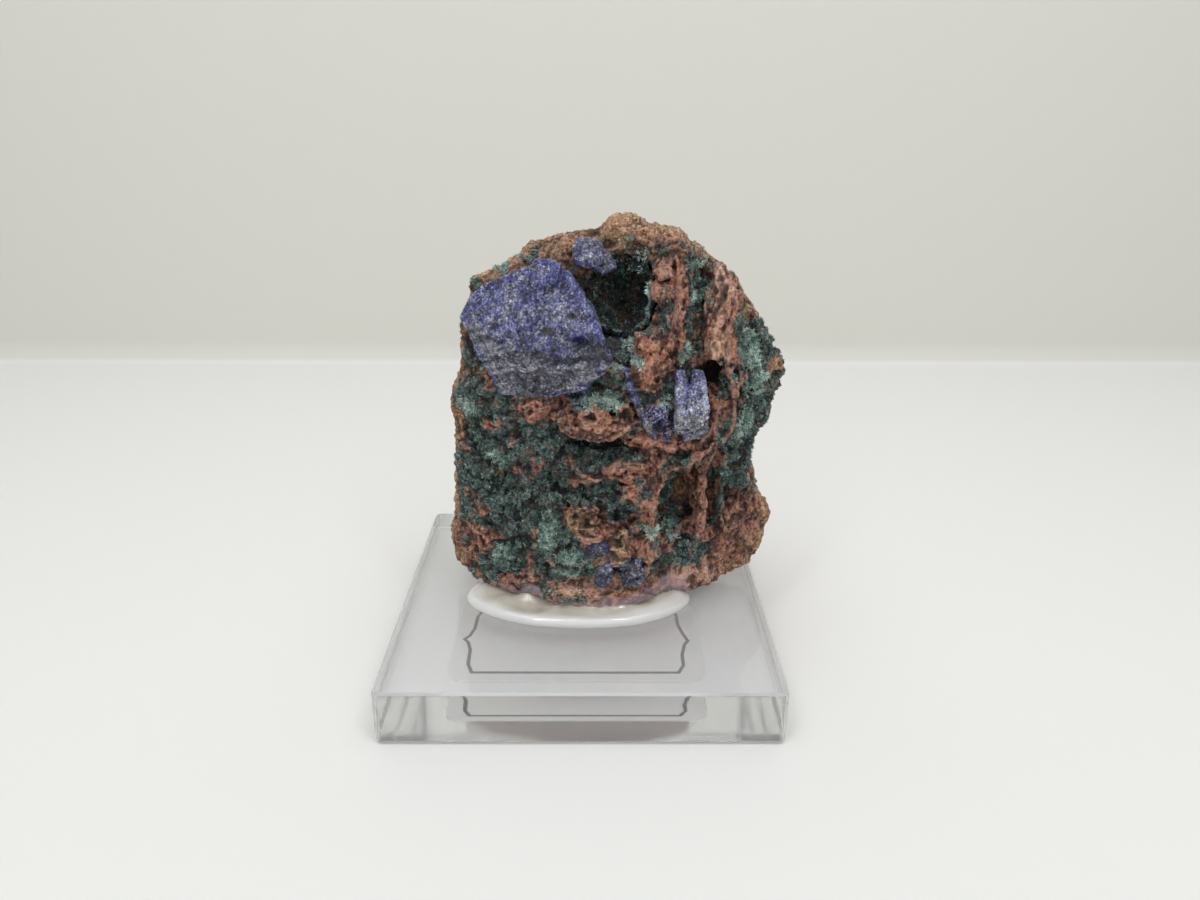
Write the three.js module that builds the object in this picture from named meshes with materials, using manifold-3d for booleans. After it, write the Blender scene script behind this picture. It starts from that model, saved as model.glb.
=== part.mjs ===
// An azurite specimen: blue azurite crystals and green malachite on a rough iron-oxide matrix,
// glued upright on a small clear acrylic block that has a sticker under it.
//
// Millimetres, +Z up. The origin is under the centre of the block, on the surface that it stands on.
// +X is to the viewer's right, and the viewer looks along +Y, so a bigger "out" is nearer the viewer.
// Everything on the block is measured from the middle of the block's top.
import * as THREE from 'three';
import { ConvexGeometry } from 'three/addons/geometries/ConvexGeometry.js';
import { mergeVertices } from 'three/addons/utils/BufferGeometryUtils.js';
import Module from 'manifold-3d';

const wasm = await Module();
wasm.setup();

// Driving sizes

const BLOCK = { side: 44.45, height: 6.35, corner: 0.5, bevel: 0.25 };
const LABEL = { width: 29.7, depth: 16.4, thick: 0.2, corner: 2, middle: [-0.55, -7.5] };
const PAD = {
    halfWidth: 14.2,
    halfDepth: 7.4,
    middle: [-0.4, -2.3],
    lip: 1.1,
    mound: 3.4,
    wobble: 0.035,
    turns: 34,
};

// The air between pieces that would touch, and how near two corners must be to be one corner

const GAP = 0.3;
const SAME_PLACE = 1e-4;
const MATRIX = {
    detail: 12,
    middle: [3.5, 23],
    frontShare: 0.36,
    backShare: 0.58,
    foot: 0.6,
    footBack: 2.5,
    footRise: 0.7,
    sideBulge: 0.055,
    frontInset: 0.025,
    backInset: 0.1,
    ragged: { high: 0.45, around: 9, deep: 7 },
    curl: { from: 0.86, high: 1.1 },
    thinnest: 2,
};

// The edge of the rock as the viewer sees it, as [across, up], clockwise from the foot on the left

const OUTLINE = [
    [-4, 0.6], [-8, 0.8], [-11.8, 1.1], [-14.8, 1.7], [-17, 3.8],
    [-16.4, 10.1], [-15.8, 15.7], [-15.6, 24.5], [-15.9, 25.4], [-14.7, 27.2],
    [-14.2, 30], [-14.5, 34], [-13.9, 35.4], [-12.5, 38.2], [-12.8, 39.2],
    [-10.8, 40.1], [-7.9, 41.8], [-6, 43.3], [-3.8, 43.7], [-0.7, 44.5],
    [1.8, 44.8], [3.1, 46], [5.2, 46.7], [6.3, 46.4], [7.1, 45.6],
    [8.4, 45.5], [9.9, 44.5], [10.6, 44.9], [11.8, 44.1], [13.2, 42.6],
    [15.6, 41.6], [16.6, 40.3], [18, 38], [19.2, 36.8], [20.5, 35.2],
    [21.5, 33.2], [22.3, 31], [24.6, 28.9], [23.9, 27.7], [23.9, 25.8],
    [22.4, 23.3], [21.2, 21.9], [20.7, 19.5], [19.8, 18.2], [20.3, 16.7],
    [21.3, 15.4], [21.1, 12.4], [23.1, 10.9], [23.6, 8.5], [23.2, 5.4],
    [21.9, 2.6], [18.8, 1.2], [14.9, 0.6],
];

// How far the broad front stands out, as [across, up, out]

const FRONT = [
    [-16, 6, -1], [-16, 15, 0], [-16, 24, 0], [-15, 30, 0.5], [-13, 37, -0.5],
    [-11, 6, 2.5], [-11, 15, 3.5], [-11, 22, 4], [-10, 27, 4],
    [-6, 3, 5], [-6, 10, 5.5], [-6, 20, 6], [-6, 25, 5.5],
    [0, 2, 6], [0, 8, 6.5], [0, 15, 6.5], [1, 24, 7], [6, 2, 6],
    [6, 9, 6], [5, 17, 6.5], [8, 23, 7], [8, 28, 6.5], [9, 34, 5],
    [12, 3, 4], [13, 11, 3.5], [12, 20, 5], [14, 25, 5.5], [14, 31, 3.5], [13, 38, 2],
    [18, 4, 0], [21, 8, -1], [18, 12, 1], [18, 19, 3], [19, 25, 2], [22, 28, -1],
    [19, 33, 1], [17, 38, 0.5], [13, 42, 0], [8, 44, -0.5], [4, 45, -1.5],
    [0, 43, 0], [-5, 42, -0.5], [-9, 39, 0],
];

// How far the broken back stands behind the middle, as [across, up, back]

const BACK = [
    [-15, 5, 5.5], [-13, 18, 8], [-12, 30, 7], [-8, 39, 6], [-6, 2, 6],
    [0, 12, 9], [-2, 26, 10.5], [4, 38, 10.5], [5, 44, 6], [6, 2, 6.5], [9, 18, 10],
    [8, 31, 11], [14, 4, 7], [17, 14, 7.5], [18, 26, 8], [15, 37, 7], [21, 8, 5.5], [22, 28, 5],
];

// Rounded ridges of rock, as a line of [across, up, out] and half their width

const RIDGES = [
    { half: 1.7, line: [[10.2, 44.4, 0.5], [10.4, 42.8, 3.5], [10.4, 41, 5.5], [10.2, 38.7, 6.8],
        [10, 36, 7.3]] },
    { half: 1.9, line: [[10, 36, 7.2], [9.2, 34.3, 7.8], [8, 32, 8.6], [7.6, 29.5, 8]] },
    { half: 1.9, line: [[15.8, 41, 2.6], [16.1, 39, 3.6], [15.6, 37, 4.4], [15, 34, 5], [14.9, 32.4, 5]] },
    { half: 1.3, line: [[16.4, 31.4, 5.4], [16.7, 29, 6], [17.1, 26.7, 6.2], [16.7, 24.8, 6.4],
        [15.2, 22.8, 6.8]] },
    { half: 1.3, line: [[15.2, 22.8, 6.9], [13.2, 21.3, 7.3], [11.5, 20.3, 7.3], [9.7, 19.8, 7.3]] },
    { half: 1.1, line: [[9.7, 19.8, 7.2], [8.9, 17.9, 7.2], [8.5, 14.9, 6.9], [8.3, 11.7, 6.8],
        [7.9, 9.6, 6.6]] },
    { half: 1.2, line: [[-15.9, 27, 1.6], [-15.6, 23, 1.6], [-15.9, 17, 1.3], [-16.2, 11, 1]] },
    { half: 1.4, line: [[-10.6, 28, 4.6], [-12.8, 27.3, 3.4], [-15, 26, 2]] },
    { half: 1.2, line: [[-4.4, 2.6, 6.9], [-0.8, 2.4, 7.5], [3.3, 2.2, 7.6], [7, 2.8, 6.9]] },
    { half: 1.3, line: [[20.6, 34.4, 1.2], [19.4, 30.8, 2.6], [19.6, 27, 3], [18.8, 22.4, 3.6]] },
];

// Hollows and grooves pressed into the front: a middle [across, up], half sizes, a lean in degrees, a depth

const HOLLOWS = [
    { at: [13, 36.6], half: [1.6, 5.8], lean: 4, deep: 4.4 },
    { at: [15.3, 29.2], half: [1.1, 2.2], lean: -8, deep: 3.6 },
    { at: [18.6, 33], half: [1.1, 4.6], lean: -14, deep: 1.6 },
    { at: [11.3, 14.2], half: [2.4, 4.4], lean: -6, deep: 5.6 },
    { at: [15.4, 13.4], half: [1.1, 4.8], lean: 0, deep: 2.8 },
    { at: [2.4, 21.6], half: [5, 1.5], lean: 2, deep: 4.2 },
    { at: [-9.4, 18.4], half: [1.4, 3.6], lean: 10, deep: 1.6 },
    { at: [-7.8, 9.4], half: [1.2, 3.2], lean: -14, deep: 1.5 },
    { at: [-12.6, 21.6], half: [1.6, 2.2], lean: 0, deep: 1.2 },
    { at: [4.6, 12.4], half: [2.4, 1.6], lean: 0, deep: 1.8 },
    { at: [-3.4, 16.6], half: [1.8, 1.2], lean: 0, deep: 1.5 },
    { at: [-2.4, 23.2], half: [1.4, 1.6], lean: 0, deep: 1.4 },
    { at: [5.6, 37.6], half: [4.6, 5.4], lean: -6, deep: 2.5 },
];

// How high and wide [across, up] the rock's own bumps are, with a seed for each kind

const BUMPS = {
    coarse: { high: 0.75, wide: [2.9, 2.9], seed: 3.1 },
    fine: { high: 0.4, wide: [1.35, 1.35], seed: 9.7 },
    back: { high: 0.7, wide: [2.6, 2.6], seed: 15.1 },
};
const RIDGE_FALL = 3;
const HOLLOW_POWER = 0.7;
const BACK_RIDGES = { high: 2.4, wide: [7.5, 6.5], seed: 21.3, level: 0.7 };

// The middle of the front is broken into level layers: a middle [across, up], half sizes, a depth

const LAYERS = { at: [4, 14], half: [13, 13], deep: 1.3, wide: [4.5, 1.9], seed: 33, sharp: 2.4 };

// Thin walls of boxwork that stand on edge, as a line of [across, up, out] with a thickness

const WALL = {
    step: 1.7,
    fewestSteps: 4,
    root: 4.2,
    halfFoot: 0.5,
    halfCrest: 0.34,
    crestTilt: 0.15,
    endShare: 0.5,
    endDrop: 0.8,
    wavyWidth: 0.3,
    wavyCrest: 0.45,
    wavyPath: 0.25,
};
const WALLS = [
    { thick: 0.9, line: [[10.9, 43, 4.6], [11.1, 40.6, 6.6], [10.7, 38, 7.8], [10.4, 35.6, 8],
        [10.5, 33, 7.8]] },
    { thick: 0.8, line: [[16.8, 40.4, 3], [17, 38, 4.4], [16.5, 35.6, 5.6], [16.4, 33, 6],
        [16.6, 31, 6.2]] },
    { thick: 0.8, line: [[17.6, 31, 5], [18, 28.8, 5.6], [17.9, 26.4, 6], [17.6, 24, 6]] },
    { thick: 0.8, line: [[15.5, 23.6, 7.8], [14, 21.9, 8.2], [12, 20.6, 8.2], [9.9, 20, 8.1]] },
    { thick: 0.8, line: [[9.4, 19.6, 8], [8.7, 17.4, 7.8], [8.4, 14.6, 7.5], [8.4, 11.6, 7.3],
        [8, 9.6, 7.2], [8.2, 6.4, 6.9]] },
    { thick: 0.7, line: [[14.6, 22, 7.2], [13.5, 20, 7], [13.9, 17.6, 6.6], [13.5, 15.2, 6.2],
        [14, 12.6, 5.7], [13.6, 10, 5.5], [12, 7.6, 5.6]] },
    { thick: 0.6, line: [[16.2, 20.6, 5.2], [16.3, 17, 4.6], [16.6, 13, 4], [16.9, 8.8, 3.4]] },
    { thick: 0.7, line: [[-2.2, 19.2, 7.3], [-0.6, 19.6, 7.6], [0.9, 18, 7.8], [2.5, 18.5, 7.8],
        [4.3, 20, 7.6]] },
    { thick: 0.7, line: [[3, 16.4, 7.3], [4.4, 17.2, 7.5], [5.8, 16.8, 7.4], [7.4, 15.4, 7.2]] },
    { thick: 0.7, line: [[-3, 15.4, 7], [-1.4, 15.9, 7.4], [0.6, 15.2, 7.5], [2, 13.6, 7.4]] },
    { thick: 0.6, line: [[-2.6, 11.6, 6.8], [-0.6, 11, 7.2], [1.6, 11.4, 7.3], [3.4, 10.8, 7.2]] },
    { thick: 0.6, line: [[-7.2, 21, 6.6], [-6.6, 17.4, 6.8], [-6.9, 14, 6.6], [-6, 10.6, 6.5]] },
];

// Lumps and ledges of rock: the corners of each, as [across, up, out]. Each also has a root inside the rock

const CHUNK = { rough: 0.25, thick: 2.4, root: 3.4 };
const CHUNKS = {
    ledge: [
        [-2.4, 26.2, 7.6], [-0.8, 27.5, 8.2], [2, 27.8, 8.8], [5, 27.2, 8.4], [5.8, 25.4, 8.2],
        [4.2, 23.9, 8.4], [1.8, 23.4, 8.8], [-0.8, 23.6, 8.2], [-2.2, 24.4, 7.8], [1.6, 25.6, 9.3],
    ],
    wedge: [[-7.6, 27.2, 5.6], [-6.4, 25.8, 6.6], [-5.6, 24.9, 7], [-4, 26, 7.2], [-3, 27.4, 6.8],
        [-5, 27.6, 7.4]],
    shelf: [[4.6, 22.6, 7.4], [7.4, 22.9, 8.2], [10.6, 22.8, 8.3], [13.6, 23.2, 7.8], [12, 21.8, 8],
        [7, 21.9, 7.8]],
    porous: [[6, 34.4, 7], [7.6, 35.2, 7.4], [9, 34.2, 7.8], [9.4, 31.4, 8.4], [8.6, 29, 8.2],
        [7, 29.2, 8.6], [6.2, 31.4, 8.8]],
    knobHigh: [[8, 42, 4.6], [9.4, 42.4, 5], [9.6, 41, 6.2], [8.4, 40.7, 6], [7.8, 41.3, 5.4]],
    knobLow: [[7.6, 39.8, 5.6], [9, 40.2, 6.4], [9.7, 39, 7.2], [8.6, 37.9, 7], [7.5, 38.8, 6.4]],
    outcrop: [[-2.2, 13.4, 7], [-0.8, 14.8, 7.6], [1.2, 14.4, 7.8], [1.9, 12.8, 7.6], [0.4, 11.4, 7.4],
        [-1.4, 11.9, 7.2]],
    dome: [[2.7, 9.4, 7.2], [3.6, 10.4, 7.5], [5, 9.9, 7.7], [5.7, 8.3, 7.7], [4.8, 7.3, 7.8],
        [3.2, 7.6, 7.6]],
    slab: [[14.6, 33.8, 5.6], [16.4, 34.4, 6], [16.6, 31.8, 6.2], [15.2, 31.2, 6.2], [13.9, 32.4, 5.6]],
    lip: [
        [-4.6, 3, 6.4], [-3.2, 1.1, 6.5], [0.6, 0.9, 6.9], [3.7, 0.6, 7.1], [5.4, 1, 6.9], [8.8, 2.4, 6.2],
        [7, 3.4, 6.8], [1, 3, 7.4], [-3, 3.4, 7],
    ],
    cheek: [[-12.2, 39.6, 1.6], [-10.6, 40, 2], [-10.2, 38.6, 2.8], [-11.6, 38.1, 2.8], [-12.6, 38.8, 2]],
};

// Holes through the walls and pits in the lumps: a middle [across, up, out] and half sizes along x, y, z

const PIT_ROUGH = 0.3;
const PITS = [
    { at: [-0.5, 25.4, 8.6], half: [0.8, 1.6, 0.7] }, { at: [1.2, 26.6, 9], half: [0.6, 1.4, 0.5] },
    { at: [3.5, 26.7, 8.8], half: [0.6, 1.4, 0.5] }, { at: [7.6, 33, 9], half: [0.6, 1.5, 0.5] },
    { at: [8.2, 30.4, 8.8], half: [0.5, 1.4, 0.6] }, { at: [11.4, 21.1, 8], half: [0.6, 1.6, 0.35] },
    { at: [13.6, 18.6, 6.6], half: [1.2, 1, 0.6] }, { at: [13.8, 16.2, 6.3], half: [1.2, 0.9, 0.7] },
    { at: [13.9, 13.6, 5.8], half: [1.2, 1, 0.7] }, { at: [8.5, 16, 7.5], half: [1.2, 0.8, 0.5] },
    { at: [17.9, 29.6, 5.5], half: [1, 1, 0.8] },
    { at: [10.8, 39.6, 7.6], half: [1, 1, 0.5] }, { at: [16.3, 18.8, 5], half: [1, 1, 0.7] },
    { at: [16.5, 15, 4.4], half: [1, 0.9, 0.8] }, { at: [-0.2, 13, 8], half: [0.6, 1.4, 0.4] },
];

// The main hollow behind the big crystal, and the malachite that lines it: half sizes along x, y, z

const CAVE = { at: [4.8, 37.4, 0], half: [4.5, 6.2, 5.1], lining: 0.95, rough: 0.08, liningRough: 0.16 };
const NEEDLES = { count: 24, span: [0.15, 0.85], length: [1, 1.9], base: 0.36, lean: 0.5, sunk: 0.7 };

// The azurite crystals: each is one or more flat-faced blocks, given by their corners as [across, up, out]

const MAIN_UPPER = [
    [-13.4, 36, 3.2], [-12, 38.3, 3.1], [-10.4, 39.6, 3.3], [-8.2, 40.2, 3.9], [-5.2, 41.9, 4.5],
    [-1.4, 41.5, 5.9], [1, 38, 7.8], [2, 35.5, 8.9], [3.3, 33.1, 10], [-12.1, 35.2, 3.9],
];
const MAIN_LOWER = [
    [-11.3, 31.6, 4], [-9.3, 27.6, 4.2], [-6, 27.2, 5.4], [-3.1, 27.8, 6.7], [0.5, 29.3, 8.4],
        [2.5, 31.5, 9.5],
];
const MAIN_THICKNESS = 7.2;
const MAIN_LEAN = [0.3, -1.6];
const MAIN_STEP = [
    [-5.4, 41.4, 5], [-4.8, 42.6, 5], [-3.2, 42.7, 5.6], [-2.2, 41.9, 6.2], [-2.6, 40.2, 6.6],
        [-4.8, 40, 5.9],
    [-5.2, 41.6, 1], [-2.2, 41.6, 2],
];
const MAIN_NOTCHES = [
    [[0.2, 35.2, 8.2], [1.3, 34.9, 10], [0.6, 33.7, 10.4], [-1.2, 33.8, 9.4], [-1, 34.9, 7.4],
        [0.2, 34.4, 7.2]],
    [[-2.9, 38.4, 6.2], [-2.2, 38.5, 7.6], [-2.2, 37.8, 7.8], [-3, 37.8, 7], [-2.5, 38.1, 5.6]],
    [[-4.6, 35.4, 6.6], [-3.8, 35.6, 7.8], [-3.9, 34.8, 8], [-4.8, 34.9, 7.4], [-4.2, 35.2, 6]],
    [[-3.5, 43, 4], [-2.9, 43, 6.4], [-3, 41.4, 6.8], [-3.3, 41.5, 5]],
];
const TOP_BLOCKS = [
    [[-0.8, 43.4, 3], [-0.2, 44.3, 3], [1, 44.1, 3.2], [2, 43.6, 3.4], [2.2, 42, 4.4],
        [0.9, 41.8, 4.8], [-0.4, 42.2, 4.4],
        [0, 44, 0], [2, 43.4, 0], [0, 42, 0.4]],
    [[1.4, 43.6, 3.2], [3, 42.6, 3.4], [3.6, 41.5, 3.6], [2.4, 41.1, 4.2], [1.2, 41.7, 4.6],
        [1.6, 43, 0], [3, 42, 0.4]],
];
const RIGHT_BLOCKS = [
    [[10.4, 30.8, 6.6], [11.2, 30.9, 6.8], [11.8, 29, 8.2], [11.9, 26.6, 9.5], [10.3, 26.8, 9],
        [10.4, 24.4, 8.4],
        [11.8, 23.4, 8.4], [10.5, 30, 3.4], [11.8, 28, 3.2], [10.6, 24.6, 3.6], [11.9, 23.8, 3.4]],
    [[12.4, 30.6, 6.8], [13.4, 30.7, 6.8], [13.8, 27, 9], [13.8, 24.3, 8.4], [13, 23.5, 8.2],
        [11.4, 23.3, 8.4],
        [11.2, 26.7, 9.6], [11.8, 29.2, 8], [12.5, 30, 3.2], [13.6, 29, 3.4], [13.6, 24.4, 3.2],
            [11.6, 23.8, 3.4]],
];
const BLADE_LINE = [[4.9, 30.7, 6.4], [5.4, 28.9, 6.9], [6, 27.3, 7.3], [6.8, 25.7, 7.6],
    [7.6, 24.1, 7.9], [8.1, 23.3, 8]];
const BLADE = { width: 0.9, depth: 2.4, tilt: 0.18, farEdge: -0.3, crest: 0.25 };
const CAVITY_BLOCKS = [
    [[3.1, 33.2, 2.4], [5.2, 33.9, 1.6], [5.6, 33.1, 1.8], [4.4, 32.5, 3.6], [3.4, 32.3, 4],
        [3.2, 32.6, 0], [5.4, 32.8, 0]],
];
const LOW_LEFT_BLOCKS = [
    [[0.2, 8.9, 7.2], [1.1, 10.1, 7.4], [2.8, 10.5, 7.6], [3.2, 9.4, 8.1], [1.6, 8.4, 8], [0.4, 8.4, 7.7],
        [0.8, 9.2, 4.4], [2.8, 9.8, 4.6], [1.6, 8.9, 4.4]],
];
const LOW_MIDDLE_BLOCKS = [
    [[1.3, 5.4, 7.8], [2, 7.1, 7.7], [3.3, 7.7, 7.7], [3.7, 6.2, 8.3], [2.7, 4.8, 8.4], [1.6, 4.7, 8.1],
        [1.8, 6, 4.8], [3.2, 6.8, 4.8], [2.6, 5.4, 4.8]],
];
const LOW_RIGHT_BLOCKS = [
    [[4.5, 5.9, 7.2], [5.2, 7.4, 7], [6.8, 7.8, 6.9], [7.3, 6.4, 7.4], [6.8, 4.5, 7.6],
        [4.8, 4.5, 7.8], [5.4, 6.8, 4.6],
        [6.8, 6.6, 4.6], [5.2, 5, 4.6]],
];

// Colours

const LOOKS = {
    acrylic: { color: 0xe8ecea, roughness: 0.05, transparent: true, opacity: 0.35 },
    sticker: { color: 0xdcdad4, roughness: 0.5, transparent: true, opacity: 0.6 },
    glue: { color: 0xe2dfcf, roughness: 0.2, transparent: true, opacity: 0.85 },
    ironOxide: { color: 0x7c4a38, roughness: 0.95 },
    malachite: { color: 0x2f5f4c, roughness: 0.7 },
    azurite: { color: 0x3a3d78, roughness: 0.4 },
};

// Small helpers

function blend(low, high, share) {
    return low + (high - low) * share;
}

// A repeatable scatter of numbers from 0 to 1
function scatter(i, j = 0, k = 0) {
    const wave = Math.sin(i * 127.1 + j * 311.7 + k * 74.7) * 43758.5453;
    return wave - Math.floor(wave);
}

// Smooth bumps from -1 to 1, about one unit across
function bumps(x, y, z) {
    const cell = [Math.floor(x), Math.floor(y), Math.floor(z)];
    const part = [x - cell[0], y - cell[1], z - cell[2]].map((t) => t * t * (3 - 2 * t));
    let sum = 0;
    for (let corner = 0; corner < 8; corner++) {
        const step = [corner & 1, (corner >> 1) & 1, (corner >> 2) & 1];
        const weight = step.reduce((w, s, axis) => w * (s ? part[axis] : 1 - part[axis]), 1);
        sum += weight * scatter(cell[0] + step[0], cell[1] + step[1], cell[2] + step[2]);
    }
    return sum * 2 - 1;
}

function relief({ high, wide, seed }, x, z) {
    return high * bumps(x / wide[0], z / wide[1], seed);
}

// A surface through a few heights, each holding sway near its own place
function spread(heights, x, z) {
    const softness = 2;
    let total = 0;
    let weights = 0;
    for (const [px, pz, height] of heights) {
        const weight = 1 / ((px - x) ** 2 + (pz - z) ** 2 + softness) ** 2;
        total += weight * height;
        weights += weight;
    }
    return total / weights;
}

function toPlace([across, up, out]) {
    return new THREE.Vector3(across, -out, up);
}

// The same mesh with its corners alone, each once
function bareCopy(geometry) {
    const bare = geometry.clone();
    bare.deleteAttribute('normal');
    bare.deleteAttribute('uv');
    return mergeVertices(bare, SAME_PLACE);
}

// A closed mesh becomes a solid that can be joined and cut
function solid(geometry) {
    const merged = bareCopy(geometry);
    return new wasm.Manifold(new wasm.Mesh({
        numProp: 3,
        vertProperties: new Float32Array(merged.attributes.position.array),
        triVerts: new Uint32Array(merged.index.array),
    }));
}

function geometryOf(manifold) {
    const mesh = manifold.getMesh();
    const geometry = new THREE.BufferGeometry();
    geometry.setAttribute('position', new THREE.BufferAttribute(new Float32Array(mesh.vertProperties), 3));
    geometry.setIndex(new THREE.BufferAttribute(new Uint32Array(mesh.triVerts), 1));
    geometry.computeVertexNormals();
    return geometry;
}

function join(solids) {
    return solids.reduce((whole, next) => whole.add(next));
}

function block(places) {
    return solid(new ConvexGeometry(places));
}

// The same block, larger by the gap on every side, to cut its socket with
function grownBlock(places, gap) {
    const grown = [];
    for (const place of places) {
        for (const axis of ['x', 'y', 'z']) {
            for (const way of [-gap, gap]) {
                const moved = place.clone();
                moved[axis] += way;
                grown.push(moved);
            }
        }
    }
    return solid(new ConvexGeometry(grown));
}

// A round lump or pit with a rough skin
function pebble({ at, half, detail, rough, seed }) {
    const geometry = new THREE.IcosahedronGeometry(1, detail);
    const place = geometry.attributes.position;
    const middle = toPlace(at);
    const bumpsAcross = 2.3;
    for (let i = 0; i < place.count; i++) {
        const x = place.getX(i);
        const y = place.getY(i);
        const z = place.getZ(i);
        const swell = 1 + rough * bumps(x * bumpsAcross + seed, y * bumpsAcross, z * bumpsAcross + seed);
        const size = half.map((length) => length * swell);
        place.setXYZ(i, middle.x + x * size[0], middle.y + y * size[1], middle.z + z * size[2]);
    }
    return solid(geometry);
}

// The rock

// The distance from the middle of the rock to its edge, in the direction of an angle
function reach(angle) {
    const ray = [Math.cos(angle), Math.sin(angle)];
    let best = 0;
    OUTLINE.forEach((start, i) => {
        const end = OUTLINE[(i + 1) % OUTLINE.length];
        const from = [start[0] - MATRIX.middle[0], start[1] - MATRIX.middle[1]];
        const edge = [end[0] - start[0], end[1] - start[1]];
        const cross = ray[0] * edge[1] - ray[1] * edge[0];
        const along = (from[0] * edge[1] - from[1] * edge[0]) / cross;
        const share = (from[0] * ray[1] - from[1] * ray[0]) / cross;
        if (along > 0 && share >= 0 && share <= 1) {
            best = Math.max(best, along);
        }
    });
    return best;
}

// How far a point lies from a line of [across, up, out], with the line's own out at the nearest place
function nearLine(line, x, z) {
    let nearest = { gap: Infinity, out: 0 };
    for (let i = 0; i + 1 < line.length; i++) {
        const [ax, az, aOut] = line[i];
        const [bx, bz, bOut] = line[i + 1];
        const length = (bx - ax) ** 2 + (bz - az) ** 2;
        const share = Math.min(1, Math.max(0, ((x - ax) * (bx - ax) + (z - az) * (bz - az)) / length));
        const gap = Math.hypot(x - blend(ax, bx, share), z - blend(az, bz, share));
        if (gap < nearest.gap) {
            nearest = { gap, out: blend(aOut, bOut, share) };
        }
    }
    return nearest;
}

function frontOut(x, z) {
    let out = spread(FRONT, x, z);
    for (const { at, half, lean, deep } of HOLLOWS) {
        const turn = THREE.MathUtils.degToRad(lean);
        const dx = x - at[0];
        const dz = z - at[1];
        const side = dx * Math.cos(turn) + dz * Math.sin(turn);
        const rise = dz * Math.cos(turn) - dx * Math.sin(turn);
        const share = (side / half[0]) ** 2 + (rise / half[1]) ** 2;
        out -= share < 1 ? deep * (1 - share) ** HOLLOW_POWER : 0;
    }
    for (const { half, line } of RIDGES) {
        const { gap, out: crest } = nearLine(line, x, z);
        out = Math.max(out, crest - RIDGE_FALL * (gap / half) ** 2);
    }
    const outward = Math.hypot((x - LAYERS.at[0]) / LAYERS.half[0], (z - LAYERS.at[1]) / LAYERS.half[1]);
    const layered = Math.max(0, 1 - outward ** 2);
    const wave = Math.abs(bumps(x / LAYERS.wide[0], z / LAYERS.wide[1], LAYERS.seed));
    const layers = LAYERS.deep * (1 - LAYERS.sharp * wave);
    return out + relief(BUMPS.coarse, x, z) + relief(BUMPS.fine, x, z) + layered * layers;
}

function backOut(x, z) {
    const { high, wide, seed, level } = BACK_RIDGES;
    const ridged = 1 - Math.abs(bumps(x / wide[0], z / wide[1], seed));
    return spread(BACK, x, z) + high * (ridged - level) + relief(BUMPS.back, x, z);
}

// The rock starts as a ball of even triangles, laid over the front, the sides and the back
function rockCore() {
    const geometry = new THREE.IcosahedronGeometry(1, MATRIX.detail);
    const place = geometry.attributes.position;
    for (let i = 0; i < place.count; i++) {
        const away = place.getY(i);
        const angle = Math.atan2(place.getZ(i), place.getX(i));
        const { high, around, deep } = MATRIX.ragged;
        const rag = high * bumps(Math.cos(angle) * around, Math.sin(angle) * around, away * deep);
        const edge = reach(angle) + rag;
        const frontEdge = 1 - MATRIX.frontInset;
        const backEdge = 1 - MATRIX.backInset;
        let share;
        let side = 0;
        if (away < MATRIX.frontShare) {
            share = frontEdge * Math.sqrt((away + 1) / (MATRIX.frontShare + 1));
        } else if (away < MATRIX.backShare) {
            side = (away - MATRIX.frontShare) / (MATRIX.backShare - MATRIX.frontShare);
            share = blend(frontEdge, backEdge, side) + MATRIX.sideBulge * Math.sin(side * Math.PI);
        } else {
            side = 1;
            share = backEdge * Math.sqrt((1 - away) / (1 - MATRIX.backShare));
        }
        const x = MATRIX.middle[0] + Math.cos(angle) * edge * share;
        let z = MATRIX.middle[1] + Math.sin(angle) * edge * share;
        const curl = Math.max(0, share - MATRIX.curl.from) / (1 - MATRIX.curl.from);
        const front = -frontOut(x, z) + (side < 1 ? MATRIX.curl.high * Math.min(1, curl) ** 2 : 0);
        const back = backOut(x, z);
        const y = blend(front, Math.max(back, front + MATRIX.thinnest), side);
        z = Math.max(z, MATRIX.foot + MATRIX.footRise * Math.max(0, y - MATRIX.footBack));
        place.setXYZ(i, x, y, z);
    }
    return solid(geometry);
}

// A thin wall of rock along a line, with a ragged crest and its foot sunk in the rock
function wall({ thick, line }, seed) {
    const curve = new THREE.CatmullRomCurve3(line.map(toPlace));
    const steps = Math.max(WALL.fewestSteps, Math.round(curve.getLength() / WALL.step));
    const { root, halfFoot, halfCrest, crestTilt } = WALL;
    const section = [[-halfFoot, -root], [-halfCrest, 0], [halfCrest, -crestTilt], [halfFoot, -root]];
    const corners = [];
    for (let i = 0; i <= steps; i++) {
        const place = curve.getPointAt(i / steps);
        const tangent = curve.getTangentAt(i / steps);
        const side = new THREE.Vector3(tangent.z, 0, -tangent.x).normalize();
        const atEnd = i === 0 || i === steps;
        const width = thick * (atEnd ? WALL.endShare : 1) * (1 + WALL.wavyWidth * bumps(i * 0.9, seed, 0));
        const crest = WALL.wavyCrest * bumps(i * 1.3, seed, 5) - (atEnd ? WALL.endDrop : 0);
        const shift = WALL.wavyPath * bumps(i * 0.8, seed, 11);
        for (const [across, out] of section) {
            const corner = place.clone().addScaledVector(side, across * width + shift);
            corner.y -= out === -root ? out : out + crest;
            corners.push(corner);
        }
    }
    const size = section.length;
    const faces = [];
    for (let i = 0; i < steps; i++) {
        for (let j = 0; j < size; j++) {
            const a = i * size + j;
            const b = i * size + (j + 1) % size;
            faces.push(a, a + size, b, b, a + size, b + size);
        }
    }
    for (let j = 1; j + 1 < size; j++) {
        const last = steps * size;
        faces.push(0, j, j + 1);
        faces.push(last, last + j + 1, last + j);
    }
    const geometry = new THREE.BufferGeometry().setFromPoints(corners);
    geometry.setIndex(faces);
    return outwards(geometry);
}

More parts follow.
